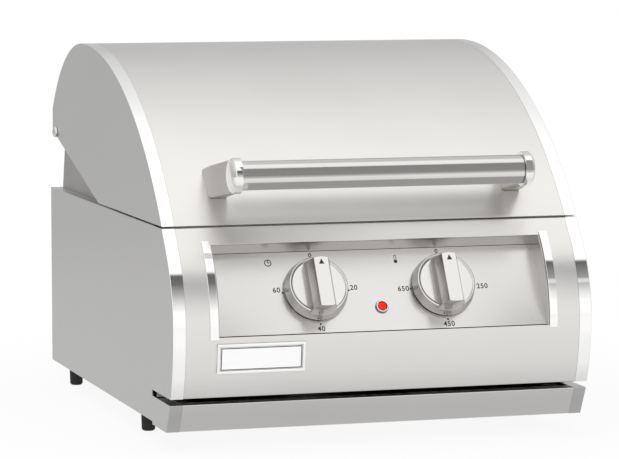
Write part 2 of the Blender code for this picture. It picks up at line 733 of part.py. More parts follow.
def make_badge(root, polished, paint):
    line = front_line()
    low = Vector(at_height(line, BADGE_Z - BADGE_HEIGHT / 2))
    high = Vector(at_height(line, BADGE_Z + BADGE_HEIGHT / 2))
    up = (high - low).normalized()
    out = Vector((-up.y, up.x))
    bulge = max(out.dot(Vector(p) - low) for p in between(line, low.y, high.y))
    frame_foot = bulge + GAP

    def slab(inset, from_out, to_out):
        a = low + up * inset
        b = high - up * inset
        outline = [a + out * from_out, b + out * from_out, b + out * to_out, a + out * to_out]
        half = BADGE_WIDTH / 2 - inset
        return prism([tuple(p) for p in outline], BADGE_X - half, BADGE_X + half)

    frame = add_object("badge_frame", slab(0, frame_foot, frame_foot + BADGE_PROUD), polished, root)
    cut(frame, slab(BADGE_RIM, frame_foot - OVERRUN, frame_foot + BADGE_PROUD + OVERRUN))
    plate_top = frame_foot + BADGE_PROUD - BADGE_SINK
    add_object("badge_plate", slab(BADGE_RIM + GAP, frame_foot, plate_top), paint, root)


def make_vent_plate(root, steel):
    rear = LEDGE_DEPTH - GAP
    line = [(BASE_FRONT, VENT_BOTTOM), (BASE_FRONT, VENT_TOP), (rear, VENT_TOP)]
    plate = sheet("vent_plate", strip(line, -SHELL_HALF, SHELL_HALF), (0, rear, VENT_BOTTOM), steel, root)
    before = BASE_FRONT - OVERRUN
    behind = BASE_FRONT + SHEET + OVERRUN
    slots = []
    for i in range(VENT_SLOTS):
        x = (i - (VENT_SLOTS - 1) / 2) * VENT_PITCH
        slot = block((x, before, VENT_SLOT_LOW), (x + VENT_SLOT_WIDTH, behind, VENT_SLOT_HIGH))
        for vert in slot.verts:
            if vert.co.z > VENT_SLOT_LOW:
                vert.co.x -= VENT_SLANT
        slots.append(slot)
    cut(plate, joined(slots))


def ear_line():
    """A side liner's outline: the firebox wall, and at the rear the ear that carries the hood's pivot."""
    rear = BODY_REAR - SHEET - GAP
    lean = math.atan2(rear - EAR_REAR_EDGE, PIVOT_Z - BODY_HEIGHT)
    lean_deg = math.degrees(lean)
    ear = arc((PIVOT_Y, PIVOT_Z), EAR_RADIUS, lean_deg, EAR_FRONT_DEG)
    below = [(LEDGE_DEPTH, LINER_BOTTOM), (rear, LINER_BOTTOM), (rear, BODY_HEIGHT)]
    return below + ear + [(EAR_FRONT, LINER_RIM), (LEDGE_DEPTH, LINER_RIM)]


def make_firebox(root, steel):
    for side, name in ((-1, "left"), (1, "right")):
        x_out = side * LINER_HALF
        x_in = side * (LINER_HALF - SHEET)
        liner = add_object("liner_" + name, prism(ear_line(), x_in, x_out), steel, root)
        hole_from = (x_in - side * OVERRUN, PIVOT_Y, PIVOT_Z)
        hole_to = (x_out + side * OVERRUN, PIVOT_Y, PIVOT_Z)
        cut(liner, rod(hole_from, hole_to, PIVOT_RADIUS + GAP, SMALL_SIDES))

    half = FIREBOX_HALF
    front = block((-half, LEDGE_DEPTH, LINER_BOTTOM), (half, LEDGE_DEPTH + SHEET, LINER_RIM))
    front = add_object("liner_front", front, steel, root)
    cut(front, rod(sensor_entry(-OVERRUN), sensor_entry(SHEET + OVERRUN), SENSOR_TUBE_RADIUS + GAP))
    rear = block((-half, LINER_REAR, LINER_BOTTOM), (half, LINER_REAR + SHEET, LINER_REAR_RIM))
    rear = add_object("liner_rear", rear, steel, root)
    for x in element_tails():
        hole_from = (x, LINER_REAR - OVERRUN, ELEMENT_HEIGHT)
        hole_to = (x, LINER_REAR + SHEET + OVERRUN, ELEMENT_HEIGHT)
        cut(rear, rod(hole_from, hole_to, ELEMENT_RADIUS + GAP))

    low = REFLECTOR_EDGE - REFLECTOR_FALL
    hem = REFLECTOR_EDGE + REFLECTOR_HEM
    y_from = LEDGE_DEPTH + SHEET + GAP
    y_to = LINER_REAR - GAP
    section = [(0, low), (half, REFLECTOR_EDGE), (half, hem)]
    faces = []
    for (xa, za), (xb, zb) in zip(section, section[1:]):
        faces.append([(xa, y_from, za), (xb, y_from, zb), (xb, y_to, zb), (xa, y_to, za)])
    middle = (y_from + y_to) / 2
    pan = sheet("reflector_pan", faces + mirrored(faces), (0, middle, BODY_HEIGHT), steel, root)
    slot_low = (-REFLECTOR_SLOT_WIDTH / 2, middle - REFLECTOR_SLOT_LENGTH / 2, low - SHEET - OVERRUN)
    slot_high = (REFLECTOR_SLOT_WIDTH / 2, middle + REFLECTOR_SLOT_LENGTH / 2, REFLECTOR_EDGE)
    cut(pan, block(slot_low, slot_high))


def sensor_entry(depth):
    """Where the sensing tube passes the front liner, depth behind the liner's front face."""
    x = FIREBOX_HALF - SENSOR_BULB_RADIUS
    return Vector((x, LEDGE_DEPTH + depth, GRATE_TOP - SENSOR_BELOW_GRATE - RAIL_HEIGHT))


def tube_object(name, points, radius, material, parent, sides_resolution):
    """A round tube along a smooth or bent route, as a curve with filled ends."""
    curve = bpy.data.curves.new(name, "CURVE")
    curve.dimensions = "3D"
    curve.bevel_depth = radius
    curve.bevel_resolution = sides_resolution
    curve.use_fill_caps = True
    spline = curve.splines.new("POLY")
    spline.points.add(len(points) - 1)
    for point, place in zip(spline.points, points):
        point.co = (*place, 1)
    obj = bpy.data.objects.new(name, curve)
    curve.materials.append(material)
    bpy.context.scene.collection.objects.link(obj)
    obj.parent = parent
    return obj


def smooth_route(corners, bend):
    """A route of straight runs whose corners are rounded with short curves."""
    corners = [Vector(c) for c in corners]
    route = [corners[0]]
    for before, corner, after in zip(corners, corners[1:], corners[2:]):
        start = corner + (before - corner).normalized() * bend
        end = corner + (after - corner).normalized() * bend
        for i in range(CORNER_STEPS + 1):
            t = i / CORNER_STEPS
            route.append(start * (1 - t) ** 2 + corner * 2 * t * (1 - t) + end * t ** 2)
    return route + [corners[-1]]


def make_sensor(root, copper):
    """The thermostat's sensing tube, from the back of its case to a bulb along the right liner."""
    x = DIAL_SPACING / 2
    case_back = -SHEET - GAP - THERMOSTAT_DEPTH
    start = on_plate(x, dial_up(), case_back - GAP)
    away = on_plate(x, dial_up(), case_back - SENSOR_FRONT_ROOM / 2)
    entry = sensor_entry(0)
    before = Vector((entry.x, LEDGE_DEPTH - SENSOR_FRONT_ROOM, entry.z))
    corner = Vector((away.x, before.y, entry.z))
    bulb_start = sensor_entry(SHEET + SENSOR_FRONT_ROOM)
    bulb_end = bulb_start + Vector((0, SENSOR_BULB_LENGTH, 0))
    route = smooth_route([start, away, corner, before, bulb_start - Vector((0, GAP, 0))], SENSOR_BEND)
    tube = tube_object("sensing_tube", route, SENSOR_TUBE_RADIUS, copper, root, 2)
    bulb = rod(bulb_start, bulb_end, SENSOR_BULB_RADIUS, SMALL_SIDES)
    return tube, bulb


def element_tails():
    return (-ELEMENT_PITCH / 2, ELEMENT_PITCH / 2)


def element_route():
    """Eight passes front to back, symmetrical, with both tails leaving at the rear by the middle."""
    bend = ELEMENT_PITCH / 2
    tail_end = LINER_REAR + SHEET + GAP + ELEMENT_TAIL
    half = [(bend, tail_end)]
    columns = [bend + i * ELEMENT_PITCH for i in range(ELEMENT_PASSES // 2)]
    at_front = True
    for x in columns[:-1]:
        y = ELEMENT_FRONT + bend if at_front else ELEMENT_REAR - bend
        for i in range(BEND_STEPS + 1):
            t = math.pi * i / BEND_STEPS
            reach = math.sin(t) * bend
            half.append((x + bend - math.cos(t) * bend, y - reach if at_front else y + reach))
        at_front = not at_front
    return half


def make_element(root, sheath, steel, ceramic):
    """The element: each half zigzags outwards, and a front run joins the two outer passes."""
    half = element_route()
    outer_x = half[-1][0]
    join_y = ELEMENT_FRONT - ELEMENT_JOIN_RUN
    bend = ELEMENT_PITCH / 2
    quarter = BEND_STEPS // 2
    for i in range(quarter + 1):
        t = math.pi / 2 * i / quarter
        half.append((outer_x - bend + math.cos(t) * bend, join_y + bend - math.sin(t) * bend))
    points = [(x, y, ELEMENT_HEIGHT) for x, y in half]
    points += [(-x, y, z) for x, y, z in points[::-1]]
    element = tube_object("heating_element", points, ELEMENT_RADIUS, sheath, root, 1)

    bar_top = ELEMENT_HEIGHT - ELEMENT_RADIUS - GAP
    for name, y in (("front", ELEMENT_FRONT + HOLDER_INSET), ("rear", ELEMENT_REAR - HOLDER_INSET)):
        front = y - HOLDER_WIDTH / 2
        line = [(front, bar_top - HOLDER_FLANGE), (front, bar_top), (front + HOLDER_WIDTH, bar_top)]
        sheet("element_holder_" + name, strip(line, -FIREBOX_HALF, FIREBOX_HALF), (0, y, 0), steel, root)

    block_front = LINER_REAR + SHEET + GAP
    block_rear = BODY_REAR - SHEET - GAP
    low = (-TERMINAL_WIDTH / 2, block_front, ELEMENT_HEIGHT - TERMINAL_HEIGHT / 2)
    high = (TERMINAL_WIDTH / 2, block_rear, ELEMENT_HEIGHT + TERMINAL_HEIGHT / 2)
    terminal = add_object("terminal_block", block(low, high), ceramic, root)
    for x in element_tails():
        hole_from = (x, block_front - OVERRUN, ELEMENT_HEIGHT)
        hole_to = (x, block_front + ELEMENT_TAIL + GAP, ELEMENT_HEIGHT)
        cut(terminal, rod(hole_from, hole_to, ELEMENT_RADIUS + GAP))
    return element


def make_grate(root, steel):
    """Bars front to back on two cross bars, resting on a rail at each side liner."""
    bar_z = GRATE_TOP - BAR_RADIUS
    cross_z = GRATE_TOP - 2 * BAR_RADIUS + CROSS_BAR_SINK - CROSS_BAR_RADIUS
    step = 2 * (GRATE_HALF - CROSS_BAR_INSET) / (GRATE_BARS - 1)
    bars = []
    for i in range(GRATE_BARS):
        x = -(GRATE_HALF - CROSS_BAR_INSET) + i * step
        bars.append(rod((x, GRATE_FRONT, bar_z), (x, GRATE_REAR, bar_z), BAR_RADIUS))
    crosses = []
    for y in (GRATE_FRONT + CROSS_BAR_INSET, (GRATE_FRONT + GRATE_REAR) / 2, GRATE_REAR - CROSS_BAR_INSET):
        crosses.append(rod((-GRATE_HALF, y, cross_z), (GRATE_HALF, y, cross_z), CROSS_BAR_RADIUS))
    grate = add_object("cooking_grate", joined(bars), steel, root)
    fuse(grate, joined(crosses))

    shelf = cross_z - CROSS_BAR_RADIUS - GAP
    foot = shelf - RAIL_HEIGHT
    y_from = LEDGE_DEPTH + SHEET + GAP
    y_to = LINER_REAR - GAP
    for side, name in ((-1, "left"), (1, "right")):
        wall = side * FIREBOX_HALF
        faces = [[(wall, y, z) for y, z in ((y_from, shelf), (y_to, shelf), (y_to, foot), (y_from, foot))]]
        faces += strip([(y_from, shelf), (y_to, shelf)], wall, side * (FIREBOX_HALF - RAIL_SHELF))
        sheet("grate_rail_" + name, faces, (0, y_from, 0), steel, root)


def make_hood(hood, steel, polished):
    line = hood_line()
    faces = strip(line, -SKIN_HALF, SKIN_HALF)
    skin = sheet("hood_skin", faces, (0, PIVOT_Y / 2, 0), steel, hood)
    for side, name in ((-1, "left"), (1, "right")):
        outline = line + [(HOOD_REAR, HOOD_REAR_EDGE), (HOOD_CUT_START, HOOD_BASE)]
        faces = [[(side * HALF, y, z) for y, z in outline]]
        faces += strip(line + [(HOOD_REAR, HOOD_REAR_EDGE)], side * HALF, side * BAND_EDGE)
        end = sheet("hood_end_" + name, faces, (0, CROWN_Y, HOOD_BASE), polished, hood)
        hole_from = (side * (HALF - SHEET - OVERRUN), PIVOT_Y, PIVOT_Z)
        hole_to = (side * (HALF + OVERRUN), PIVOT_Y, PIVOT_Z)
        cut(end, rod(hole_from, hole_to, PIVOT_RADIUS + GAP, SMALL_SIDES))
    foot, inward = arm_foot()
    for side in (-1, 1):
        at = foot + Vector((side * arm_centre(), 0, 0))
        cut(skin, rod(at - inward * OVERRUN, at + inward * OVERRUN, HANDLE_SCREW_RADIUS + GAP, SMALL_SIDES))


def arm_direction():
    """Along the handle's arm, from the handle down and back to the hood."""
    drop = math.radians(ARM_DROP_DEG)
    return Vector((0, math.cos(drop), -math.sin(drop)))


def arm_foot():
    """Where the arm's middle line meets the hood's outer side, and the way straight in from there."""
    direction = arm_direction()
    centre = Vector((0, CROWN_Y, CROWN_HEIGHT - HOOD_RADIUS))
    handle = Vector((0, HANDLE_Y, HANDLE_Z))
    along = (handle - centre).dot(direction)
    distance = -along - math.sqrt(along ** 2 - (handle - centre).length_squared + HOOD_RADIUS ** 2)
    foot = handle + direction * distance
    return foot, (centre - foot).normalized()


def arm_centre():
    return HANDLE_HALF + GAP + ARM_WIDTH / 2


def rounded_section(width, height, radius):
    section = []
    for quadrant, (across, rise) in enumerate(((1, 1), (-1, 1), (-1, -1), (1, -1))):
        for i in range(CORNER_STEPS + 1):
            turn = math.pi / 2 * (quadrant + i / CORNER_STEPS)
            a = across * (width / 2 - radius) + math.cos(turn) * radius
            section.append((a, rise * (height / 2 - radius) + math.sin(turn) * radius))
    return section


def arm_solid(side):
    """The arm: slim at the boss, wider where it stands on the hood. It runs on past the hood's sheet."""
    direction = arm_direction()
    across = Vector((side, 0, 0))
    up = Vector((0, -direction.z, direction.y))
    handle = Vector((0, HANDLE_Y, HANDLE_Z))
    reach = (arm_foot()[0] - handle).length
    neck = (HANDLE_HALF + GAP + ARM_NECK_WIDTH / 2, ARM_NECK_WIDTH, ARM_NECK_HEIGHT)
    root = (arm_centre(), ARM_WIDTH, ARM_HEIGHT)
    stations = [(0, neck), (BOSS_RADIUS / 2, neck)]
    stations += [(reach * ARM_FLARE_SHARE, root), (reach + ARM_HEIGHT, root)]
    bm = bmesh.new()
    rings = []
    for along, (x, width, height) in stations:
        base = handle + direction * along + across * x
        section = rounded_section(width, height, ARM_ROUND)
        rings.append([bm.verts.new(base + across * a + up * b) for a, b in section])
    bm.faces.new(rings[0])
    bm.faces.new(rings[-1][::-1])
    count = len(rings[0])
    for ring, following in zip(rings, rings[1:]):
        for i in range(count):
            j = (i + 1) % count
            bm.faces.new((ring[i], following[i], following[j], ring[j]))
    bmesh.ops.recalc_face_normals(bm, faces=bm.faces)
    return bm


def make_handle(hood, steel, chrome, zinc):
    """The tube, the two cast brackets that end it, and their screws inside the hood."""
    centre = Vector((0, HANDLE_Y, HANDLE_Z))
    end = Vector((HANDLE_HALF, 0, 0))
    bore = HANDLE_RADIUS - HANDLE_WALL
    bore_end = HANDLE_HALF - BOSS_SPIGOT - GAP
    tube = [(0, -bore_end), (bore, -bore_end), (bore, -HANDLE_HALF), (HANDLE_RADIUS, -HANDLE_HALF)]
    tube += [(radius, -height) for radius, height in tube[::-1]]
    add_object("handle_tube", turned(tube, centre, end), steel, hood)

    spigot = bore - 2 * GAP
    face = BOSS_RADIUS - BOSS_CHAMFER
    profile = [(0, -BOSS_SPIGOT), (spigot, -BOSS_SPIGOT), (spigot, GAP), (BOSS_RADIUS - SHEET, GAP)]
    profile += [(BOSS_RADIUS, GAP + SHEET), (BOSS_RADIUS, BOSS_WIDTH), (face, BOSS_WIDTH + BOSS_CHAMFER)]
    for share in DOME_SHARES:
        rise = BOSS_DOME * (1 - share ** 2)
        profile.append(((face - SHEET) * share, BOSS_WIDTH + BOSS_CHAMFER + rise))
    hood_side = thick(offset(hood_line(), -GAP), 2 * ARM_HEIGHT)
    tip = -HANDLE_SCREW_LENGTH
    screw = [(0, tip), (HANDLE_SCREW_RADIUS, tip), (HANDLE_SCREW_RADIUS, 0), (HANDLE_SCREW_HEAD_RADIUS, 0)]
    screw += [(HANDLE_SCREW_HEAD_RADIUS, HANDLE_SCREW_HEAD), (0, HANDLE_SCREW_HEAD)]
    foot, inward = arm_foot()
    for side, name in ((-1, "left"), (1, "right")):
        place = centre + side * end
        bracket = add_object("handle_bracket_" + name, turned(profile, place, (side, 0, 0)), chrome, hood)
        fuse(bracket, arm_solid(side))
        cut(bracket, prism(hood_side, side * HANDLE_HALF / 2, side * (arm_centre() + ARM_WIDTH)))
        at = foot + Vector((side * arm_centre(), 0, 0))
        hole_from = at - inward * (HANDLE_SCREW_LENGTH + GAP)
        cut(bracket, rod(hole_from, at + inward * OVERRUN, HANDLE_SCREW_RADIUS + GAP, SMALL_SIDES))
        under = at + inward * (SHEET + 2 * GAP)
        add_object("handle_screw_" + name, turned(screw, under, inward, SMALL_SIDES), zinc, hood)


def make_hinge(root, chrome, brass):
    """At each side a shouldered bolt through the hood's end plate, a bush and the liner's ear."""
    outer = HALF + GAP
    shank_end = LINER_HALF - SHEET - GAP - outer
    tail = shank_end + GAP - PIVOT_NUT
    bolt_profile = [(PIVOT_HEAD_RADIUS * out, PIVOT_HEAD * up) for out, up in PIVOT_DOME_SHARES]
    bolt_profile += [(PIVOT_HEAD_RADIUS, 0), (PIVOT_RADIUS, 0), (PIVOT_RADIUS, shank_end)]
    bolt_profile += [(PIVOT_NUT_RADIUS, shank_end), (PIVOT_NUT_RADIUS, tail), (0, tail)]
    bore = PIVOT_RADIUS + GAP
    length = HALF - SHEET - LINER_HALF - 2 * GAP
    ring = [(bore, 0), (BUSH_RADIUS, 0), (BUSH_RADIUS, length), (bore, length), (bore, 0)]
    for side, name in ((-1, "left"), (1, "right")):
        bolt = turned(bolt_profile, (side * outer, PIVOT_Y, PIVOT_Z), (side, 0, 0), SMALL_SIDES)
        add_object("pivot_bolt_" + name, bolt, chrome, root)
        bush = turned(ring, (side * (LINER_HALF + GAP), PIVOT_Y, PIVOT_Z), (side, 0, 0), SMALL_SIDES)
        bmesh.ops.remove_doubles(bush, verts=bush.verts, dist=MERGE)
        bmesh.ops.recalc_face_normals(bush, faces=bush.faces)
        add_object("pivot_bush_" + name, bush, brass, root)


def make_tray(tray, steel, polished):
    """The drawer: its full-width front, the polished ends, and the pan that hooks onto the front's back."""
    face = [(TRAY_FRONT_TOP, TRAY_TOP), (TRAY_FRONT_BOTTOM, TRAY_BOTTOM)]
    top_lip = (TRAY_FRONT_TOP + TRAY_LIP, TRAY_TOP)
    under_lip = (TRAY_FRONT_BOTTOM + TRAY_UNDER_LIP, TRAY_BOTTOM)
    faces = strip([top_lip] + face + [under_lip], -SKIN_HALF, SKIN_HALF)
    sheet("tray_front", faces, (0, BODY_REAR, TRAY_TOP / 2), steel, tray)
    for side, name in ((-1, "left"), (1, "right")):
        cheek = face + [(CHEEK_REAR, TRAY_BOTTOM), (CHEEK_REAR, TRAY_TOP)]
        faces = [[(side * HALF, y, z) for y, z in cheek]]
        faces += strip([(CHEEK_REAR, TRAY_TOP)] + face, side * HALF, side * BAND_EDGE)
        sheet("tray_end_" + name, faces, (0, CHEEK_SEAM / 2, TRAY_BOTTOM), polished, tray)

    seat = offset(face, -SHEET - GAP)
    rim_front = at_height(seat, PAN_RIM)
    floor_front = at_height(seat, PAN_FLOOR)
    section = [rim_front, floor_front, (PAN_REAR, PAN_FLOOR), (PAN_REAR, PAN_RIM)]
    faces = strip(section, -PAN_HALF, PAN_HALF)
    wall = [[(PAN_HALF, y, z) for y, z in section]]
    flange = strip([rim_front, (PAN_REAR, PAN_RIM)], PAN_HALF, PAN_HALF + PAN_FLANGE)
    faces += wall + flange + mirrored(wall + flange)
    sheet("drip_pan", faces, (0, PAN_REAR / 2, BODY_HEIGHT), steel, tray)


def make_runners(root, steel):
    shelf = PAN_RIM - GAP
    low = 2 * SHEET + GAP
    inner = RUNNER_HALF - RUNNER_SHELF
    outer = RUNNER_HALF + RUNNER_FOOT
    section = ((inner, shelf), (RUNNER_HALF, shelf), (RUNNER_HALF, low), (outer, low))
    for side, name in ((-1, "left"), (1, "right")):
        faces = []
        for (xa, za), (xb, zb) in zip(section, section[1:]):
            near = [(side * xa, RUNNER_FRONT, za), (side * xb, RUNNER_FRONT, zb)]
            far = [(side * xb, RUNNER_REAR, zb), (side * xa, RUNNER_REAR, za)]
            faces.append(near + far)
        sheet("tray_runner_" + name, faces, (0, RUNNER_FRONT, low), steel, root)


def foot_places():
    x = HALF - FOOT_SIDE_INSET
    return [(side * x, y) for y in (FOOT_FRONT_Y, FOOT_REAR_Y) for side in (-1, 1)]


def make_feet(root, rubber):
    names = ("front_left", "front_right", "rear_left", "rear_right")
    sole = FOOT_TIP_RADIUS - FOOT_ROUND
    profile = [(0, -FOOT_DROP), (sole, -FOOT_DROP), (FOOT_TIP_RADIUS, -FOOT_DROP + FOOT_ROUND)]
    profile += [(FOOT_TOP_RADIUS, -GAP), (FOOT_NECK_RADIUS, -GAP), (FOOT_NECK_RADIUS, SHEET + GAP)]
    profile += [(FOOT_NUT_RADIUS, SHEET + GAP), (FOOT_NUT_RADIUS, SHEET + FOOT_NUT), (0, SHEET + FOOT_NUT)]
    for name, (x, y) in zip(names, foot_places()):
        add_object("foot_" + name, turned(profile, (x, y, 0), sides=SMALL_SIDES), rubber, root)


def stand_on_origin(root):
    """Sets the grill down: feet on Z = 0, and the middle of its footprint on the origin."""
    bpy.context.view_layer.update()
    graph = bpy.context.evaluated_depsgraph_get()
    corners = []
    for obj in bpy.data.objects:
        if obj.type == "EMPTY" or obj.hide_render:
            continue
        shape = obj.evaluated_get(graph)
        mesh = shape.to_mesh()
        corners += [shape.matrix_world @ vert.co for vert in mesh.vertices]
        shape.to_mesh_clear()
    ys = [c.y for c in corners]
    root.location = (0, -(min(ys) + max(ys)) / 2, -min(c.z for c in corners))


def main():
    for obj in list(bpy.data.objects):
        bpy.data.objects.remove(obj, do_unlink=True)

    steel = finish_of("brushed_steel", (0.62, 0.60, 0.58), 0.36, 1)
    polished = finish_of("polished_steel", (0.80, 0.79, 0.78), 0.10, 1)
    chrome = finish_of("satin_nickel", (0.72, 0.70, 0.68), 0.22, 1)
    inner = finish_of("plain_steel", (0.50, 0.49, 0.48), 0.45, 1)
    zinc = finish_of("zinc_plate", (0.55, 0.55, 0.54), 0.40, 1)
    sheath = finish_of("element_sheath", (0.09, 0.085, 0.08), 0.50, 0.8)
    brass = finish_of("brass", (0.62, 0.48, 0.22), 0.30, 1)
    copper = finish_of("copper", (0.62, 0.32, 0.20), 0.35, 1)
    rubber = finish_of("black_rubber", (0.018, 0.018, 0.018), 0.70, 0)
    plastic = finish_of("black_plastic", (0.03, 0.03, 0.03), 0.45, 0)
    ceramic = finish_of("ceramic", (0.80, 0.77, 0.70), 0.60, 0)
    red = finish_of("red_lens", (0.80, 0.03, 0.02), 0.15, 0)
    paint = finish_of("badge_white", (0.85, 0.85, 0.84), 0.35, 0)

    root = add_axis("grill", (0, 0, 0), None)
    hood = add_axis("hood_hinge", (0, PIVOT_Y, PIVOT_Z), root)
    tray = add_axis("tray_slide", (0, TRAY_FRONT_TOP, TRAY_BOTTOM), root)

    make_body(root, steel, polished)
    make_rear_panel(root, steel)
    make_power_inlet(root, plastic)
    make_front_panel(root, steel)
    make_control_panel(root, steel, polished)
    make_badge(root, polished, paint)
    make_lamp(root, chrome, red, plastic)
    make_switchgear(root, plastic, zinc)
    make_vent_plate(root, inner)
    make_firebox(root, inner)
    make_grate(root, polished)
    make_element(root, sheath, inner, ceramic)
    make_feet(root, rubber)
    make_runners(root, zinc)
    make_hinge(root, chrome, brass)

    tube, bulb = make_sensor(root, copper)
    add_object("sensing_bulb", bulb, copper, root)

    make_hood(hood, steel, polished)
    make_handle(hood, steel, chrome, zinc)
    make_tray(tray, steel, polished)
    make_knob(root, "timer", -1, chrome, zinc)
    make_knob(root, "temperature", 1, chrome, zinc)

    stand_on_origin(root)


main()
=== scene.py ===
"""Looks for the countertop electric grill: fine sheet metal, turned parts, finishes, studio and camera.

Pieces are drawn in metres with X = 0 on the grill's middle plane, Y = 0 at the front corner of the seam
under the hood and Z = 0 at the underside of the box, and are then set down by SET_DOWN.
"""

import json
import math

import bmesh
import bpy
from mathutils import Euler, Matrix, Vector


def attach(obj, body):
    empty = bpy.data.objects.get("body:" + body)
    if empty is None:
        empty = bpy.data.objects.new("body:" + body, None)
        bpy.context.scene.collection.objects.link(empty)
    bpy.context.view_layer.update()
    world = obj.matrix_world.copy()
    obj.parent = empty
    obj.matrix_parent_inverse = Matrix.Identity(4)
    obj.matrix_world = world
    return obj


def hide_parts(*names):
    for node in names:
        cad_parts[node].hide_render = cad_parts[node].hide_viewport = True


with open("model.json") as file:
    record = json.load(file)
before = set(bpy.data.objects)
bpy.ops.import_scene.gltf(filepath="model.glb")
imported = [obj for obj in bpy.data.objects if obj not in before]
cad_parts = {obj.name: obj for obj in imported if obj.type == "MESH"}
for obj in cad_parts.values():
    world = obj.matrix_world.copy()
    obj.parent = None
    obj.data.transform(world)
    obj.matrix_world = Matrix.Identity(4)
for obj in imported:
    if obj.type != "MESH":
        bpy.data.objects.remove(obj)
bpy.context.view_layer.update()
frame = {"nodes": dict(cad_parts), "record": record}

FOOT_HEIGHT = 0.0207
SET_DOWN = Vector((0, -0.20398, FOOT_HEIGHT))

# Sheet metal and box, as in the solids
SHEET = 0.0012
GAP = 0.0003
MERGE = 0.000003
HALF = 0.200
BAND = 0.012
BODY_HEIGHT = 0.1803
BODY_REAR = 0.4642
CHEEK_SEAM = 0.0372
CHEEK_REAR = CHEEK_SEAM - GAP / 2
CHEEK_BEND = 0.0007
SKIN_HALF = HALF - BAND - GAP / 6
BAND_EDGE = HALF - BAND + GAP / 6

# Front
FRONT_FLAT = 0.0242
BELLY_RADIUS = 0.1185
TUCK_RADIUS = 0.168
FRONT_LOWER_EDGE = 0.0293
FRONT_RETURN = 0.014
LEDGE_DEPTH = 0.078

# Hood
HOOD_BASE = 0.1822
CROWN_HEIGHT = 0.3346
HOOD_RADIUS = 0.396
CROWN_FLAT = 0.0045
HOOD_REAR = 0.4545
REAR_ARC_END = 0.262
HOOD_REAR_EDGE = 0.2403
HOOD_CUT_START = 0.2482
SEAM_ANGLE = math.degrees(math.asin((HOOD_RADIUS - CROWN_HEIGHT + HOOD_BASE) / HOOD_RADIUS))
CROWN_Y = HOOD_RADIUS * math.cos(math.radians(SEAM_ANGLE))
PIVOT_Y = 0.4345
PIVOT_Z = 0.2395

# Control recess
RECESS_TOP = 0.1658
RECESS_BOTTOM = 0.085
RECESS_HALF = 0.1581
PLATE_TOP = (0.0035, 0.1566)
BEZEL_WIDTH = 0.0077
BEZEL_TOP = 0.1683
BEZEL_BOTTOM = 0.083
DIAL_X = 0.061
DIAL_UP = 0.04178
LAMP_UP = 0.024


# Shader maths

class Wire:
    """A value in a node tree. Sums on wires add Math nodes."""

    def __init__(self, tree, source):
        self.tree = tree
        self.source = source

    def math(self, operation, *others):
        node = self.tree.nodes.new("ShaderNodeMath")
        node.operation = operation
        for socket, value in zip(node.inputs, (self, *others)):
            plug(self.tree, socket, value)
        return Wire(self.tree, node.outputs[0])

    def __add__(self, other):
        return self.math("ADD", other)

    def __sub__(self, other):
        return self.math("SUBTRACT", other)

    def __mul__(self, other):
        return self.math("MULTIPLY", other)

    def __rsub__(self, other):
        return (self * -1) + other

    __radd__ = __add__
    __rmul__ = __mul__

    def between(self, low, high):
        """0 below low, 1 above high, smooth between."""
        node = self.tree.nodes.new("ShaderNodeMapRange")
        node.interpolation_type = "SMOOTHSTEP"
        for name, value in (("Value", self), ("From Min", low), ("From Max", high)):
            plug(self.tree, node.inputs[name], value)
        return Wire(self.tree, node.outputs["Result"])


def plug(tree, socket, value):
    if isinstance(value, Wire):
        tree.links.new(value.source, socket)
    else:
        socket.default_value = value


def socket_of(node, key):
    """A node's input: in3 means its fourth, any other key is its name with underscores for spaces."""
    if key[:2] == "in" and key[2:].isdigit():
        return node.inputs[int(key[2:])]
    return node.inputs[key.replace("_", " ")]


def add_node(tree, kind, settings, output, values):
    """Adds a node: settings are its own properties, values go to its sockets."""
    node = tree.nodes.new(kind)
    for key, value in (settings or {}).items():
        setattr(node, key, value)
    for key, value in values.items():
        plug(tree, socket_of(node, key), value)
    return Wire(tree, node.outputs[output])


class Shader:
    """A shader's tree, with one way to add nodes."""

    def __init__(self, tree):
        self.tree = tree

    def node(self, kind, settings=None, output=0, **values):
        return add_node(self.tree, "ShaderNode" + kind, settings, output, values)

    def ramp(self, value, stops):
        """A grey ramp through (position, value) stops."""
        node = self.tree.nodes.new("ShaderNodeValToRGB")
        band = node.color_ramp
        while len(band.elements) > 1:
            band.elements.remove(band.elements[-1])
        band.elements[0].position = stops[0][0]
        for position, _ in stops[1:]:
            band.elements.new(position)
        for element, (_, shade) in zip(band.elements, stops):
            element.color = colour_of(shade)
        plug(self.tree, node.inputs["Fac"], value)
        return Wire(self.tree, node.outputs["Color"])

    def blend(self, amount, first, second):
        return self.node("Mix", {"data_type": "RGBA"}, 2, in0=amount, in6=first, in7=second)

    def place(self):
        """Object coordinates."""
        return self.node("TexCoord", output=3)

    def scaled(self, scale):
        """Object coordinates, stretched: a small scale draws the pattern out along that axis."""
        return self.node("Mapping", Vector=self.place(), Scale=scale)

    def noise(self, scale, detail=2.0, vector=None, roughness=0.5):
        vector = vector or self.place()
        return self.node("TexNoise", Vector=vector, Scale=scale, Detail=detail, Roughness=roughness)

    def bump(self, height, strength, distance):
        return self.node("Bump", Height=height, Strength=strength, Distance=distance)

    def axes(self, vector):
        """A vector's X, Y and Z."""
        split = self.tree.nodes.new("ShaderNodeSeparateXYZ")
        plug(self.tree, split.inputs[0], vector)
        return [Wire(self.tree, part) for part in split.outputs]

    def ray(self, kind):
        """1 for a ray of this kind, else 0."""
        path = self.tree.nodes.new("ShaderNodeLightPath")
        return Wire(self.tree, path.outputs[f"Is {kind} Ray"])

    def show(self, shader):
        """Makes a shader the material's surface."""
        self.tree.links.new(shader.source, self.tree.nodes["Material Output"].inputs["Surface"])


def colour_of(shade):
    if isinstance(shade, (int, float)):
        return (shade, shade, shade, 1)
    return (*shade, 1) if len(shade) == 3 else shade


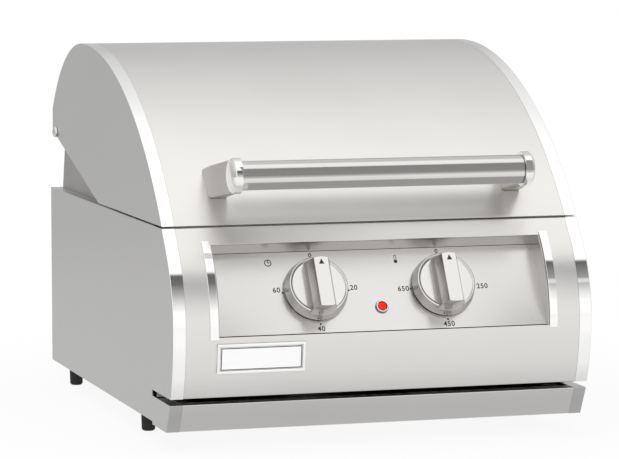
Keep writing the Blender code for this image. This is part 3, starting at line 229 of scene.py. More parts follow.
def new_finish(name):
    material = bpy.data.materials.new(name)
    material.use_nodes = True
    return material, Shader(material.node_tree), material.node_tree.nodes["Principled BSDF"]


def set_up(shader, principled, **values):
    for key, value in values.items():
        plug(shader.tree, socket_of(principled, key), value)


CLOUD_SCALE = 9.0
WIPE_SCALE = 38.0
CAST_SCALE = 900.0
FINER = 3.1


def metal(name, light, dark, roughness, grain=None, grain_depth=0.0, grain_rough=0.08, cloud=0.04):
    """Sheet or cast metal: a fine grain drawn out one way, faint clouding, and broad wipes in the roughness."""
    material, s, principled = new_finish(name)
    clouds = s.noise(CLOUD_SCALE, 3.0)
    wipes = s.noise(WIPE_SCALE, 2.0)
    if grain:
        lines = s.noise(1.0, 3.0, s.scaled(grain), 0.6)
        fine = s.noise(1.0, 1.0, s.scaled([v * FINER for v in grain]), 0.5)
        lines = lines * 0.6 + fine * 0.4
    else:
        lines = s.noise(CAST_SCALE, 2.0)
    tone = (clouds - 0.5) * 0.5 + (lines - 0.5) * 0.5 + 0.5
    set_up(s, principled, Base_Color=s.blend(tone.between(0.25, 0.75), colour_of(dark), colour_of(light)),
           Metallic=1.0,
           Roughness=(lines - 0.5) * grain_rough + (clouds - 0.5) * cloud + (wipes - 0.5) * (cloud / 2) + roughness,
           Normal=s.bump(lines, 1.0, grain_depth))
    return material


def moulded(name, colour, worn, roughness, pit_scale, pit_depth):
    """Moulded rubber, plastic or ceramic: a pitted skin that goes paler in places."""
    material, s, principled = new_finish(name)
    pits = s.noise(pit_scale, 3.0)
    patches = s.noise(14.0, 4.0)
    set_up(s, principled, Base_Color=s.blend(patches.between(0.45, 0.8), colour_of(colour), colour_of(worn)),
           Roughness=(patches - 0.5) * 0.2 + roughness, Normal=s.bump(pits, 1.0, pit_depth))
    return material


# Finishes

along_x = (12.0, 4200.0, 4200.0)
along_y = (4200.0, 12.0, 4200.0)
WARM = (0.80, 0.785, 0.765)
WARM_DARK = (0.755, 0.74, 0.72)

# Light and dark tone, roughness, grain, the grain's depth, and the grain's and the clouds' part in the roughness
brushed = metal("brushed_steel", WARM, WARM_DARK, 0.30, along_x, 0.00002)
# The recess surround: the brushed steel darkened, painted shade for the recess
recess_painted_shade = metal("brushed_steel_recess_painted_shade", (0.56, 0.545, 0.53), (0.52, 0.505, 0.49), 0.26, along_x, 0.000014)
brushed_plate = metal("brushed_steel_plate", (0.765, 0.75, 0.732), (0.725, 0.71, 0.692), 0.24, along_x, 0.000014)
# Ends and side panels: the grain runs along Y, and the darker tone is painted shade on the sides
side_steel_painted_shade = metal("brushed_steel_side_painted_shade", (0.71, 0.705, 0.69), (0.675, 0.67, 0.655), 0.32, along_y, 0.000014)
polished = metal("polished_steel", (0.955, 0.95, 0.94), (0.935, 0.93, 0.92), 0.07, None, 0.0, 0.02, 0.03)
handle_steel = metal("brushed_steel_handle", (0.74, 0.73, 0.71), (0.70, 0.69, 0.67), 0.16, along_x, 0.00001, 0.05)
# The tray's end bands: polished steel darkened, painted shade low down by the floor
polished_painted_shade = metal("polished_steel_painted_shade", (0.61, 0.61, 0.605), (0.59, 0.59, 0.585), 0.10, None, 0.0, 0.02, 0.03)
nickel = metal("satin_nickel", (0.80, 0.785, 0.765), (0.77, 0.755, 0.735), 0.22, None, 0.000004, 0.05)
# Darker copies of the satin nickel: painted shade on the leaning and upright flanks of the knobs and the lamp ring
nickel_painted_shade_dark = metal("satin_nickel_painted_shade_dark", (0.28, 0.272, 0.265), (0.25, 0.243, 0.237), 0.20, None, 0.000004, 0.05)
nickel_painted_shade_mid = metal("satin_nickel_painted_shade_mid", (0.55, 0.54, 0.525), (0.50, 0.49, 0.475), 0.20, None, 0.000004, 0.05)
nickel_cast = metal("satin_nickel_cast", (0.60, 0.585, 0.57), (0.55, 0.535, 0.52), 0.36, None, 0.000006, 0.06)
chrome = metal("satin_nickel_bright", (0.88, 0.875, 0.865), (0.85, 0.845, 0.835), 0.06, None, 0.0, 0.02, 0.02)
plain = metal("plain_steel", (0.52, 0.51, 0.50), (0.42, 0.41, 0.40), 0.42, along_y, 0.00002, 0.12, 0.14)
zinc = metal("zinc_plate", (0.58, 0.58, 0.57), (0.48, 0.48, 0.47), 0.40, None, 0.00001, 0.10, 0.12)
sheath = metal("element_sheath", (0.12, 0.11, 0.10), (0.06, 0.055, 0.05), 0.50, None, 0.00003, 0.15, 0.15)
brass = metal("brass", (0.66, 0.50, 0.24), (0.56, 0.42, 0.19), 0.30, None, 0.0, 0.06)
copper = metal("copper", (0.66, 0.34, 0.21), (0.52, 0.26, 0.16), 0.33, None, 0.0, 0.08)
rubber = moulded("black_rubber", (0.016, 0.016, 0.016), (0.035, 0.034, 0.033), 0.68, 1400.0, 0.00004)
plastic = moulded("black_plastic", (0.022, 0.022, 0.022), (0.034, 0.034, 0.034), 0.42, 2200.0, 0.00002)
ceramic = moulded("ceramic", (0.80, 0.77, 0.70), (0.72, 0.68, 0.60), 0.62, 900.0, 0.00004)
enamel = moulded("badge_white", (0.97, 0.97, 0.965), (0.95, 0.95, 0.945), 0.22, 60.0, 0.0)
ink = moulded("black_ink", (0.02, 0.02, 0.02), (0.03, 0.03, 0.03), 0.45, 3000.0, 0.0)


def make_lens_finish():
    material, s, principled = new_finish("red_lens")
    ribs = s.noise(700.0, 1.0)
    set_up(s, principled, Base_Color=s.blend(ribs, (0.85, 0.012, 0.004, 1), (0.72, 0.008, 0.003, 1)),
           Roughness=ribs * 0.06 + 0.22, Specular_IOR_Level=0.2, Emission_Color=(1.0, 0.02, 0.002, 1),
           Emission_Strength=0.35)
    return material


red = make_lens_finish()

# What each node of the solids shows, where no finer piece stands for it
finish_of_slot = {
    "brushed_steel": brushed, "polished_steel": polished, "satin_nickel": nickel, "plain_steel": plain,
    "zinc_plate": zinc, "element_sheath": sheath, "brass": brass, "copper": copper, "black_rubber": rubber,
    "black_plastic": plastic, "ceramic": ceramic, "red_lens": red, "badge_white": enamel,
}
for part in frame["record"]["subparts"]:
    cad = frame["nodes"][part["node"]]
    cad.data.materials.clear()
    cad.data.materials.append(finish_of_slot[part["material_slot"]])


# Shapes

def arc(centre, radius, start, end, step=1.0):
    """Points (y, z) on an arc. Angles are in degrees, from +Y towards +Z."""
    steps = max(2, math.ceil(abs(end - start) / step))
    angles = [math.radians(start + (end - start) * i / steps) for i in range(steps + 1)]
    return [(centre[0] + radius * math.cos(a), centre[1] + radius * math.sin(a)) for a in angles]


def offset(line, distance):
    """The (y, z) line moved sideways, towards the right of its own direction where distance is positive."""
    points = [Vector(p) for p in line]
    steps = [(b - a).normalized() for a, b in zip(points, points[1:])]
    sides = [Vector((s.y, -s.x)) for s in steps]
    moved = []
    for i, point in enumerate(points):
        before = sides[max(i - 1, 0)]
        after = sides[min(i, len(sides) - 1)]
        middle = (before + after).normalized()
        moved.append(tuple(point + middle * distance / middle.dot(after)))
    return moved


def at_height(line, z):
    for (y0, z0), (y1, z1) in zip(line, line[1:]):
        if min(z0, z1) <= z <= max(z0, z1) and z0 != z1:
            return (y0 + (y1 - y0) * (z - z0) / (z1 - z0), z)
    return line[-1]


def between(line, low, high):
    return [at_height(line, high)] + [p for p in line if low < p[1] < high] + [at_height(line, low)]


def front_line():
    """The front's outer side from the seam down to the lower edge."""
    slope = math.radians(SEAM_ANGLE)
    flat_end = Vector((0, BODY_HEIGHT)) - Vector((math.sin(slope), math.cos(slope))) * FRONT_FLAT
    belly_centre = flat_end + Vector((math.cos(slope), -math.sin(slope))) * BELLY_RADIUS
    belly = arc(belly_centre, BELLY_RADIUS, 180 - SEAM_ANGLE, 180)
    tuck_centre = (belly[-1][0] + TUCK_RADIUS, belly[-1][1])
    tuck_angle = math.degrees(math.asin((tuck_centre[1] - FRONT_LOWER_EDGE) / TUCK_RADIUS))
    return [(0, BODY_HEIGHT)] + belly + arc(tuck_centre, TUCK_RADIUS, 180, 180 + tuck_angle)[1:]


def hood_line():
    """The hood's outer side from the seam over the crown to the top of its rear edge."""
    front = arc((CROWN_Y, CROWN_HEIGHT - HOOD_RADIUS), HOOD_RADIUS, 180 - SEAM_ANGLE, 90)
    run = HOOD_REAR - CROWN_Y - CROWN_FLAT
    fall = CROWN_HEIGHT - REAR_ARC_END
    radius = (run ** 2 + fall ** 2) / (2 * fall)
    end_angle = math.degrees(math.asin((radius - fall) / radius))
    return front + arc((CROWN_Y + CROWN_FLAT, CROWN_HEIGHT - radius), radius, 90, end_angle)


FRONT = front_line()
HOOD = hood_line()
plate_foot = Vector((0, *at_height(offset(FRONT, -SHEET - GAP), RECESS_BOTTOM)))
plate_up = (Vector((0, *PLATE_TOP)) - plate_foot).normalized()
plate_out = Vector((1, 0, 0)).cross(plate_up)
plate_turn = Matrix((Vector((1, 0, 0)), plate_up, plate_out)).transposed().to_4x4()


def on_plate(x, up, proud=0.0):
    return Matrix.Translation(plate_foot + Vector((x, 0, 0)) + plate_up * up + plate_out * proud) @ plate_turn


def strip(line, x_from, x_to):
    return [[(x_from, *a), (x_to, *a), (x_to, *b), (x_from, *b)] for a, b in zip(line, line[1:])]


def mirrored(faces):
    return [[(-x, y, z) for x, y, z in face] for face in faces]


def surface(*groups):
    """A bmesh of faces. Each group is (faces, material index)."""
    bm = bmesh.new()
    for faces, index in groups:
        for face in faces:
            bm.faces.new([bm.verts.new(point) for point in face]).material_index = index
    bmesh.ops.remove_doubles(bm, verts=bm.verts, dist=MERGE)
    bmesh.ops.recalc_face_normals(bm, faces=bm.faces)
    return bm


def prism(outline, x_from, x_to):
    """A closed solid: a (y, z) outline drawn out along X."""
    bm = bmesh.new()
    near = [bm.verts.new((x_from, y, z)) for y, z in outline]
    far = [bm.verts.new((x_to, y, z)) for y, z in outline]
    bm.faces.new(near)
    bm.faces.new(far[::-1])
    for i in range(len(outline)):
        j = (i + 1) % len(outline)
        bm.faces.new((near[j], near[i], far[i], far[j]))
    bmesh.ops.recalc_face_normals(bm, faces=bm.faces)
    return bm


def lathe(profile, sides=96, ring=False):
    """A closed solid of revolution about Z from (radius, height) pairs, pole to pole, or a closed ring."""
    bm = bmesh.new()
    rows = []
    for radius, height in profile:
        count = 1 if radius == 0 else sides
        turns = [math.tau * i / sides for i in range(count)]
        rows.append([bm.verts.new((radius * math.cos(t), radius * math.sin(t), height)) for t in turns])
    if ring:
        rows.append(rows[0])
    for row, following in zip(rows, rows[1:]):
        for i in range(sides):
            j = (i + 1) % sides
            turned = ((row, i), (row, j), (following, j), (following, i))
            corners = [points[k % len(points)] for points, k in turned]
            bm.faces.new(list(dict.fromkeys(corners)))
    bmesh.ops.recalc_face_normals(bm, faces=bm.faces)
    return bm


def rounded(profile, radius, steps=4):
    """A profile with its inner corners rounded."""
    points = [Vector(p) for p in profile]
    result = [points[0]]
    for before, corner, after in zip(points, points[1:], points[2:]):
        reach = min(radius, (before - corner).length * 0.45, (after - corner).length * 0.45)
        start = corner + (before - corner).normalized() * reach
        end = corner + (after - corner).normalized() * reach
        for i in range(steps + 1):
            t = i / steps
            result.append(start * (1 - t) ** 2 + corner * 2 * t * (1 - t) + end * t ** 2)
    return [tuple(p) for p in result + [points[-1]]]


def quarter(steps):
    """The angles from 0 to a right angle, both left out."""
    return [math.pi / 2 * i / steps for i in range(1, steps)]


def skinned(bm, rows):
    """Puts faces between rows of points that each go round, and over both ends unless the rows close in a ring."""
    for row, following in zip(rows, rows[1:]):
        for i in range(len(row)):
            j = (i + 1) % len(row)
            bm.faces.new((row[i], row[j], following[j], following[i]))
    if rows[-1] is not rows[0]:
        bm.faces.new(rows[0][::-1])
        bm.faces.new(rows[-1])
    bmesh.ops.recalc_face_normals(bm, faces=bm.faces)
    return bm


def tube(route, radius, sides=20):
    """A closed round tube along a route."""
    bm = bmesh.new()
    points = [Vector(p) for p in route]
    rows = []
    side = None
    for i, point in enumerate(points):
        along = (points[min(i + 1, len(points) - 1)] - points[max(i - 1, 0)]).normalized()
        if side is None:
            side = along.orthogonal().normalized()
        side = (side - along * side.dot(along)).normalized()
        other = along.cross(side)
        turns = [math.tau * k / sides for k in range(sides)]
        rows.append([bm.verts.new(point + (side * math.cos(t) + other * math.sin(t)) * radius) for t in turns])
    return skinned(bm, rows)


def block(low, high):
    return prism([(low[1], low[2]), (high[1], low[2]), (high[1], high[2]), (low[1], high[2])], low[0], high[0])


def joined(*parts):
    """Several bmeshes as one."""
    whole = bmesh.new()
    for part in parts:
        mesh = bpy.data.meshes.new("joining")
        part.to_mesh(mesh)
        part.free()
        whole.from_mesh(mesh)
        bpy.data.meshes.remove(mesh)
    return whole


def placed(bm, matrix):
    bm.transform(matrix)
    return bm


def pointing(place, axis):
    """Takes +Z to an axis through a place."""
    return Matrix.Translation(place) @ Vector(axis).to_track_quat("Z", "Y").to_matrix().to_4x4()


# Pieces

def add_modifier(obj, name, kind, settings):
    modifier = obj.modifiers.new(name, kind)
    for key, value in settings.items():
        setattr(modifier, key, value)


def bevel(width, segments, angle):
    return {"width": width, "segments": segments, "limit_method": "ANGLE", "angle_limit": math.radians(angle),
            "miter_outer": "MITER_ARC", "use_clamp_overlap": True}


def piece(name, bm, body, materials, stands_for=(), bend=0.0, wall=0.0, edge=0.0, sharp=35.0):
    """Turns a bmesh into a finished piece on its body. bend rounds folds, wall gives a sheet its thickness
    inwards, edge rounds what is still sharp."""
    bm.transform(Matrix.Translation(SET_DOWN))
    mesh = bpy.data.meshes.new(name)
    bm.to_mesh(mesh)
    bm.free()
    for material in materials:
        mesh.materials.append(material)
    obj = bpy.data.objects.new(name, mesh)
    bpy.context.scene.collection.objects.link(obj)
    if bend:
        add_modifier(obj, "bend", "BEVEL", bevel(bend, 4, 20))
    if wall:
        add_modifier(obj, "wall", "SOLIDIFY", {"thickness": wall, "offset": -1, "use_even_offset": True,
                                               "use_quality_normals": True})
    if edge:
        add_modifier(obj, "edge", "BEVEL", bevel(edge, 2, 40))
    mesh.shade_smooth()
    bake(obj)
    obj.data.set_sharp_from_angle(angle=math.radians(sharp))
    add_modifier(obj, "shading", "WEIGHTED_NORMAL", {"keep_sharp": True, "weight": 60})
    bake(obj)
    set_on(obj, body, stands_for)


def set_on(obj, body, stands_for):
    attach(obj, body)
    if stands_for:
        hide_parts(*stands_for)


def bake(obj):
    bpy.context.view_layer.update()
    mesh = bpy.data.meshes.new_from_object(obj.evaluated_get(bpy.context.evaluated_depsgraph_get()))
    obj.modifiers.clear()
    obj.data = mesh


def facing_away(bm, inside):
    """Turns a sheet's faces so that its outer side looks away from a point inside."""
    towards = sum(f.calc_area() * f.normal.dot(Vector(inside) - f.calc_center_median()) for f in bm.faces)
    if towards > 0:
        bmesh.ops.reverse_faces(bm, faces=bm.faces)
    return bm


def folded(name, groups, inside, body, materials, stands_for, bend=0.0010, edge=0.00022):
    """Folded sheet metal with rounded bends and eased edges."""
    bm = facing_away(surface(*groups), inside)
    piece(name, bm, body, materials, stands_for, bend, SHEET, edge)


SIDES = ((-1, "left"), (1, "right"))


def make_hood():
    folded("hood_skin_fine", [(strip(HOOD, -SKIN_HALF, SKIN_HALF), 0)], (0, PIVOT_Y / 2, 0), "hood",
           [brushed], ["hood_skin"], bend=0)
    for side, name in SIDES:
        outline = HOOD + [(HOOD_REAR, HOOD_REAR_EDGE), (HOOD_CUT_START, HOOD_BASE)]
        plate = [[(side * HALF, y, z) for y, z in outline]]
        band = strip(HOOD + [(HOOD_REAR, HOOD_REAR_EDGE)], side * HALF, side * BAND_EDGE)
        folded("hood_end_fine_" + name, [(plate, 0), (band, 1)], (0, CROWN_Y, HOOD_BASE), "hood",
               [side_steel_painted_shade, polished], ["hood_end_" + name], bend=CHEEK_BEND)


def make_front():
    opening = RECESS_HALF + SHEET + GAP
    ledge = [(LEDGE_DEPTH - GAP, BODY_HEIGHT)]
    hem = [(FRONT[-1][0] + FRONT_RETURN, FRONT_LOWER_EDGE)]
    above = [p for p in FRONT if p[1] > RECESS_TOP] + [at_height(FRONT, RECESS_TOP)]
    beside = between(FRONT, RECESS_BOTTOM, RECESS_TOP)
    below = [at_height(FRONT, RECESS_BOTTOM)] + [p for p in FRONT if p[1] < RECESS_BOTTOM]
    whole = ledge + above[:-1] + beside + below[1:] + hem
    faces = strip(whole, opening, SKIN_HALF)
    faces += mirrored(faces)
    faces += strip(ledge + above, -opening, opening) + strip(below + hem, -opening, opening)
    folded("front_panel_fine", [(faces, 0)], (0, LEDGE_DEPTH, BODY_HEIGHT / 2), "root",
           [brushed], ["front_panel"])

    for side, name in SIDES:
        cheek = FRONT + [(CHEEK_REAR, FRONT_LOWER_EDGE), (CHEEK_REAR, BODY_HEIGHT)]
        plate = [[(side * HALF, y, z) for y, z in cheek]]
        band = strip([(CHEEK_REAR, BODY_HEIGHT)] + FRONT, side * HALF, side * BAND_EDGE)
        folded("front_end_fine_" + name, [(plate, 0), (band, 1)], (0, CHEEK_SEAM, BODY_HEIGHT / 2), "root",
               [side_steel_painted_shade, polished], ["front_end_" + name], bend=CHEEK_BEND)

        wall_front = CHEEK_SEAM + GAP / 2
        wall = [(wall_front, 0), (BODY_REAR, 0), (BODY_REAR, BODY_HEIGHT), (wall_front, BODY_HEIGHT)]
        plate = [[(side * HALF, y, z) for y, z in wall]]
        flange = strip([(wall_front, BODY_HEIGHT), (BODY_REAR, BODY_HEIGHT)], side * HALF, side * BAND_EDGE)
        folded("side_panel_fine_" + name, [(plate + flange, 0)], (0, BODY_REAR / 2, 0), "root",
               [side_steel_painted_shade], ["side_panel_" + name], bend=CHEEK_BEND)


PLATE_FOOT_GAP = 0.0007
PLATE_TOP_GAP = 0.0014
PLATE_SIDE_GAP = 0.0005
RECESS_BEND = 0.0005
BEZEL_EDGE = 0.0003


def make_recess():
    edge = between(offset(FRONT, -SHEET - GAP), RECESS_BOTTOM, RECESS_TOP)
    faces = strip([edge[0], PLATE_TOP], -RECESS_HALF, RECESS_HALF)
    rim = between(offset(FRONT, -GAP), RECESS_BOTTOM, RECESS_TOP)
    cheek = [[(RECESS_HALF, y, z) for y, z in [PLATE_TOP, edge[-1]] + rim[::-1] + [edge[0]]]]
    faces += cheek + mirrored(cheek)
    # The surround wears the darkened steel: painted shade in the recess
    folded("recess_surround", [(faces, 0)], (0, LEDGE_DEPTH, PLATE_TOP[1]), "root",
           [recess_painted_shade], ["control_panel"], bend=RECESS_BEND)
    foot, top = Vector(edge[-1]), Vector(PLATE_TOP)
    run = (top - foot).normalized()
    rise = [tuple(foot + run * PLATE_FOOT_GAP), tuple(top - run * PLATE_TOP_GAP)]
    width = RECESS_HALF - PLATE_SIDE_GAP
    folded("control_plate", [(strip(rise, -width, width), 0)], (0, LEDGE_DEPTH, 0), "root",
           [brushed_plate], ["control_panel"])
    rail = offset(between(FRONT, BEZEL_BOTTOM, BEZEL_TOP), GAP)
    outline = rail + offset(rail, SHEET)[::-1]
    for side, name in SIDES:
        bm = prism(outline, side * RECESS_HALF, side * (RECESS_HALF + BEZEL_WIDTH))
        piece("bezel_fine_" + name, bm, "root", [polished], ["bezel_" + name],
              edge=BEZEL_EDGE)


TRAY_BROW = (-0.0280, 0.0236)
TRAY_FOOT = (-0.0141, -0.0028)
TRAY_TOP_LIP = 0.016
TRAY_UNDER_LIP = 0.034


def make_tray():
    face = [TRAY_BROW, TRAY_FOOT]
    top_lip = (TRAY_BROW[0] + TRAY_TOP_LIP, TRAY_BROW[1])
    under_lip = (TRAY_FOOT[0] + TRAY_UNDER_LIP, TRAY_FOOT[1])
    faces = strip([top_lip] + face + [under_lip], -SKIN_HALF, SKIN_HALF)
    folded("tray_front_fine", [(faces, 0)], (0, BODY_REAR, TRAY_BROW[1] / 2), "tray",
           [brushed], ["tray_front"])
    for side, name in SIDES:
        cheek = face + [(CHEEK_REAR, TRAY_FOOT[1]), (CHEEK_REAR, TRAY_BROW[1])]
        plate = [[(side * HALF, y, z) for y, z in cheek]]
        band = strip([(CHEEK_REAR, TRAY_BROW[1])] + face, side * HALF, side * BAND_EDGE)
        # The end bands wear the darkened polished steel: painted shade low down
        folded("tray_end_fine_" + name, [(plate, 0), (band, 1)], (0, CHEEK_SEAM / 2, TRAY_FOOT[1]), "tray",
               [side_steel_painted_shade, polished_painted_shade], ["tray_end_" + name], bend=CHEEK_BEND)


PAN_HALF = 0.1760
PAN_RIM_HALF = 0.1860
PAN_REAR = 0.4200
PAN_FLOOR = 0.0032
PAN_RIM = 0.0196
PAN_FRONT_FLOOR = -0.0152
PAN_FRONT_RIM = -0.0238
PAN_DRAFT = 0.0012
PAN_BEND = 0.0022


def make_drip_pan():
    """The pan rides on the tray's front: a floor, four walls, the front and rear ones leaning, and a flat rim along
    both sides.
    """
    front_rim = (PAN_FRONT_RIM, PAN_RIM)
    section = [front_rim, (PAN_FRONT_FLOOR, PAN_FLOOR), (PAN_REAR - PAN_DRAFT, PAN_FLOOR), (PAN_REAR, PAN_RIM)]
    faces = strip(section, -PAN_HALF, PAN_HALF)
    wall = [[(PAN_HALF, y, z) for y, z in section]]
    rim = strip([front_rim, (PAN_REAR, PAN_RIM)], PAN_HALF, PAN_RIM_HALF)
    faces += wall + rim + mirrored(wall + rim)
    folded("drip_pan_fine", [(faces, 0)], (0, PAN_REAR / 2, BODY_HEIGHT), "tray", [plain],
           ["drip_pan"], bend=PAN_BEND)


HANDLE = Vector((0, -0.0255, 0.2285))
HANDLE_RADIUS = 0.0133
HANDLE_HALF = 0.1338
HANDLE_WALL = 0.0016
HANDLE_BORE_DEPTH = 0.012
HANDLE_EDGE = 0.0004
SPIGOT_LENGTH = 0.011
BOSS_EDGE = 0.0007
BOSS_STEP = 0.0002
BOSS_RADIUS = 0.0162
BOSS_WIDTH = 0.0074
BOSS_CHAMFER = 0.0022
BOSS_DOME = 0.0022
ARM_WIDTH = 0.0178
ARM_FOOT_X = 0.1420
ARM_NECK_WIDTH = 0.0080
ARM_NECK_HEIGHT = 0.0308
ARM_HEIGHT = 0.0296
ARM_DROP = math.radians(10.8)
ARM_CORNER = 0.0030
ARM_FLARED = 0.75


def hood_distance(point, direction):
    """How far a ray runs from a point before it meets the hood's outer side."""
    centre = Vector((0, CROWN_Y, CROWN_HEIGHT - HOOD_RADIUS))
    to_point = Vector((0, point.y, point.z)) - centre
    along = to_point.dot(direction)
    radius = HOOD_RADIUS + GAP
    return -along - math.sqrt(along ** 2 - to_point.length_squared + radius ** 2)


def rounded_section(width, height, radius, steps=6):
    section = []
    for quadrant, (across, rise) in enumerate(((1, 1), (-1, 1), (-1, -1), (1, -1))):
        for i in range(steps + 1):
            turn = math.pi / 2 * (quadrant + i / steps)
            a = across * (width / 2 - radius) + math.cos(turn) * radius
            section.append((a, rise * (height / 2 - radius) + math.sin(turn) * radius))
    return section


def arm(side):
    """The cast arm: slim at the boss, wider on the hood, and cut to the hood's curve."""
    direction = Vector((0, math.cos(ARM_DROP), -math.sin(ARM_DROP)))
    up = Vector((0, math.sin(ARM_DROP), math.cos(ARM_DROP)))
    across = Vector((side, 0, 0))
    reach = hood_distance(HANDLE, direction)
    neck_x = HANDLE_HALF + GAP + ARM_NECK_WIDTH / 2
    bm = bmesh.new()
    rows = []
    for share in (0.0, 0.25, 0.5, ARM_FLARED, 1.0):
        flare = min(1, share / ARM_FLARED)
        width = ARM_NECK_WIDTH + (ARM_WIDTH - ARM_NECK_WIDTH) * flare
        height = ARM_NECK_HEIGHT + (ARM_HEIGHT - ARM_NECK_HEIGHT) * flare
        x = neck_x + (ARM_FOOT_X - neck_x) * flare
        row = []
        for a, b in rounded_section(width, height, ARM_CORNER):
            point = HANDLE + across * (x + a) + up * b
            limit = hood_distance(point, direction)
            run = min(reach * share, limit) if share < 1 else limit
            row.append(bm.verts.new(point + direction * run))
        rows.append(row)
    return skinned(bm, rows)


def make_handle():
    bore = HANDLE_RADIUS - HANDLE_WALL
    bore_end = HANDLE_BORE_DEPTH - HANDLE_HALF
    profile = rounded([(0, bore_end), (bore, bore_end), (bore, -HANDLE_HALF), (HANDLE_RADIUS, -HANDLE_HALF),
                       (HANDLE_RADIUS, 0)], HANDLE_EDGE)
    profile += [(r, -z) for r, z in profile[-2::-1]]
    piece("handle_tube_fine", placed(lathe(profile, 128), pointing(HANDLE, (1, 0, 0))), "hood",
          [handle_steel], ["handle_tube"])
    face = BOSS_RADIUS - BOSS_CHAMFER
    crown = BOSS_WIDTH + BOSS_CHAMFER
    spigot = bore - 2 * GAP
    boss = [(0, -SPIGOT_LENGTH), (spigot, -SPIGOT_LENGTH), (spigot, GAP)]
    boss += rounded([(spigot, GAP), (BOSS_RADIUS, GAP), (BOSS_RADIUS, BOSS_WIDTH), (face, crown),
                     (face - SHEET, crown + BOSS_STEP)], BOSS_EDGE)[1:]
    boss += [((face - SHEET) * math.cos(t), crown + BOSS_DOME * math.sin(t)) for t in quarter(10)]
    boss.append((0, crown + BOSS_DOME))
    for side, name in SIDES:
        place = HANDLE + Vector((side * HANDLE_HALF, 0, 0))
        piece("handle_boss_" + name, placed(lathe(boss, 128), pointing(place, (side, 0, 0))), "hood",
              [chrome], ["handle_bracket_" + name])
        piece("handle_arm_" + name, arm(side), "hood", [nickel_cast], ["handle_bracket_" + name])


KNOB_RADIUS = 0.0298
KNOB_RIM = 0.0276
KNOB_FLOOR = 0.0246
KNOB_SKIRT = 0.0115
KNOB_HEIGHT = 0.029
KNOB_STANDOFF = 0.003
KNOB_SOLE = -KNOB_STANDOFF * 0.55
KNOB_STEP = 0.0008
KNOB_DISH = 0.0012
KNOB_EDGE = 0.0005
# Half width at the grip's foot and the nose there, then height, half width, tail and nose of the rings above
GRIP_FOOT_HALF = 0.0115
GRIP_FOOT_NOSE = 0.0255
GRIP_WAIST = (0.0190, 0.0109, -0.0284, 0.0228)
GRIP_TOP = (KNOB_HEIGHT, 0.0066, -0.0280, 0.0205)
GRIP_EDGE = 0.0004
POINTER_TIP = 0.0182
POINTER_LENGTH = 0.0052
POINTER_HALF = 0.0026
POINTER_POINT = 0.00002
POINTER_RISE = 0.00006


def grip_outline(half, tail, nose, steps=8):
    points = []
    for radius, direction in ((nose, 1), (-tail, -1)):
        reach = math.asin(half / radius)
        for i in range(2 * steps + 1):
            turn = reach * (1 - i / steps)
            points.append((direction * radius * math.sin(turn), direction * radius * math.cos(turn)))
    return points


UPRIGHT = 0.15
FLAT = 0.8


def painted_shade_by_facing(bm):
    """Paints shade by facing: leaning faces get the second material, a mid painted shade, and upright side faces and
    what leans right get the third, a dark painted shade.
    """
    for face in bm.faces:
        rise = abs(face.normal.z)
        upright = rise < UPRIGHT and abs(face.normal.x) > 0.8
        leans_right = face.normal.x > 0.85 and UPRIGHT < rise < FLAT
        face.material_index = 2 if upright or leans_right else int(rise < FLAT)
    return bm


def grip():
    """The raised grip: a steep lower flank, a leaning upper flank, and a flat top."""
    tail_foot = KNOB_RADIUS - (KNOB_RADIUS - KNOB_RIM) / 2 - GAP
    rings = [(KNOB_SKIRT / 2, GRIP_FOOT_HALF, -tail_foot, GRIP_FOOT_NOSE), GRIP_WAIST, GRIP_TOP]
    bm = bmesh.new()
    rows = [[bm.verts.new((x, y, z)) for x, y in grip_outline(half, tail, nose)] for z, half, tail, nose in rings]
    return skinned(bm, rows)


def pointer():
    """The black wedge on the grip's top, drawn to a point at the nose."""
    tail = POINTER_TIP - POINTER_LENGTH
    mark = prism([(tail, 0), (POINTER_TIP, 0), (POINTER_TIP, POINTER_RISE), (tail, POINTER_RISE)],
                 -POINTER_HALF, POINTER_HALF)
    for vert in mark.verts:
        if vert.co.y > tail + POINTER_LENGTH / 2:
            vert.co.x = math.copysign(POINTER_POINT, vert.co.x)
    return mark


def make_knobs():
    foot = KNOB_RADIUS - KNOB_STEP
    dish = KNOB_SKIRT - KNOB_DISH
    skirt = [(0, KNOB_SOLE)]
    skirt += rounded([(0, KNOB_SOLE), (foot, KNOB_SOLE), (foot, 0), (KNOB_RADIUS, 0), (KNOB_RADIUS, KNOB_DISH),
                      (KNOB_RIM, KNOB_SKIRT - KNOB_STEP), (KNOB_RIM - KNOB_DISH, KNOB_SKIRT), (KNOB_FLOOR, dish),
                      (0, dish)], KNOB_EDGE)[1:]
    for side, name in ((-1, "timer"), (1, "temperature")):
        place = on_plate(side * DIAL_X, DIAL_UP, KNOB_STANDOFF)
        body = name + "_dial"
        # The second and third finishes paint shade on the flanks
        dressed = [nickel, nickel_painted_shade_mid, nickel_painted_shade_dark]
        piece(name + "_knob_skirt", placed(painted_shade_by_facing(lathe(skirt, 128)), place), body, dressed,
              [name + "_knob"])
        piece(name + "_knob_grip", placed(painted_shade_by_facing(grip()), place), body, dressed, [name + "_knob"],
              edge=GRIP_EDGE)
        piece(name + "_pointer", placed(pointer(), place @ Matrix.Translation((0, 0, KNOB_HEIGHT))), body,
              [ink])


LAMP_BORE = 0.0041
LAMP_RADIUS = 0.00625
LAMP_RIM = 0.0022
LENS_RADIUS = 0.0037
LENS_EDGE = 0.0021
LENS_DOME = 0.0014


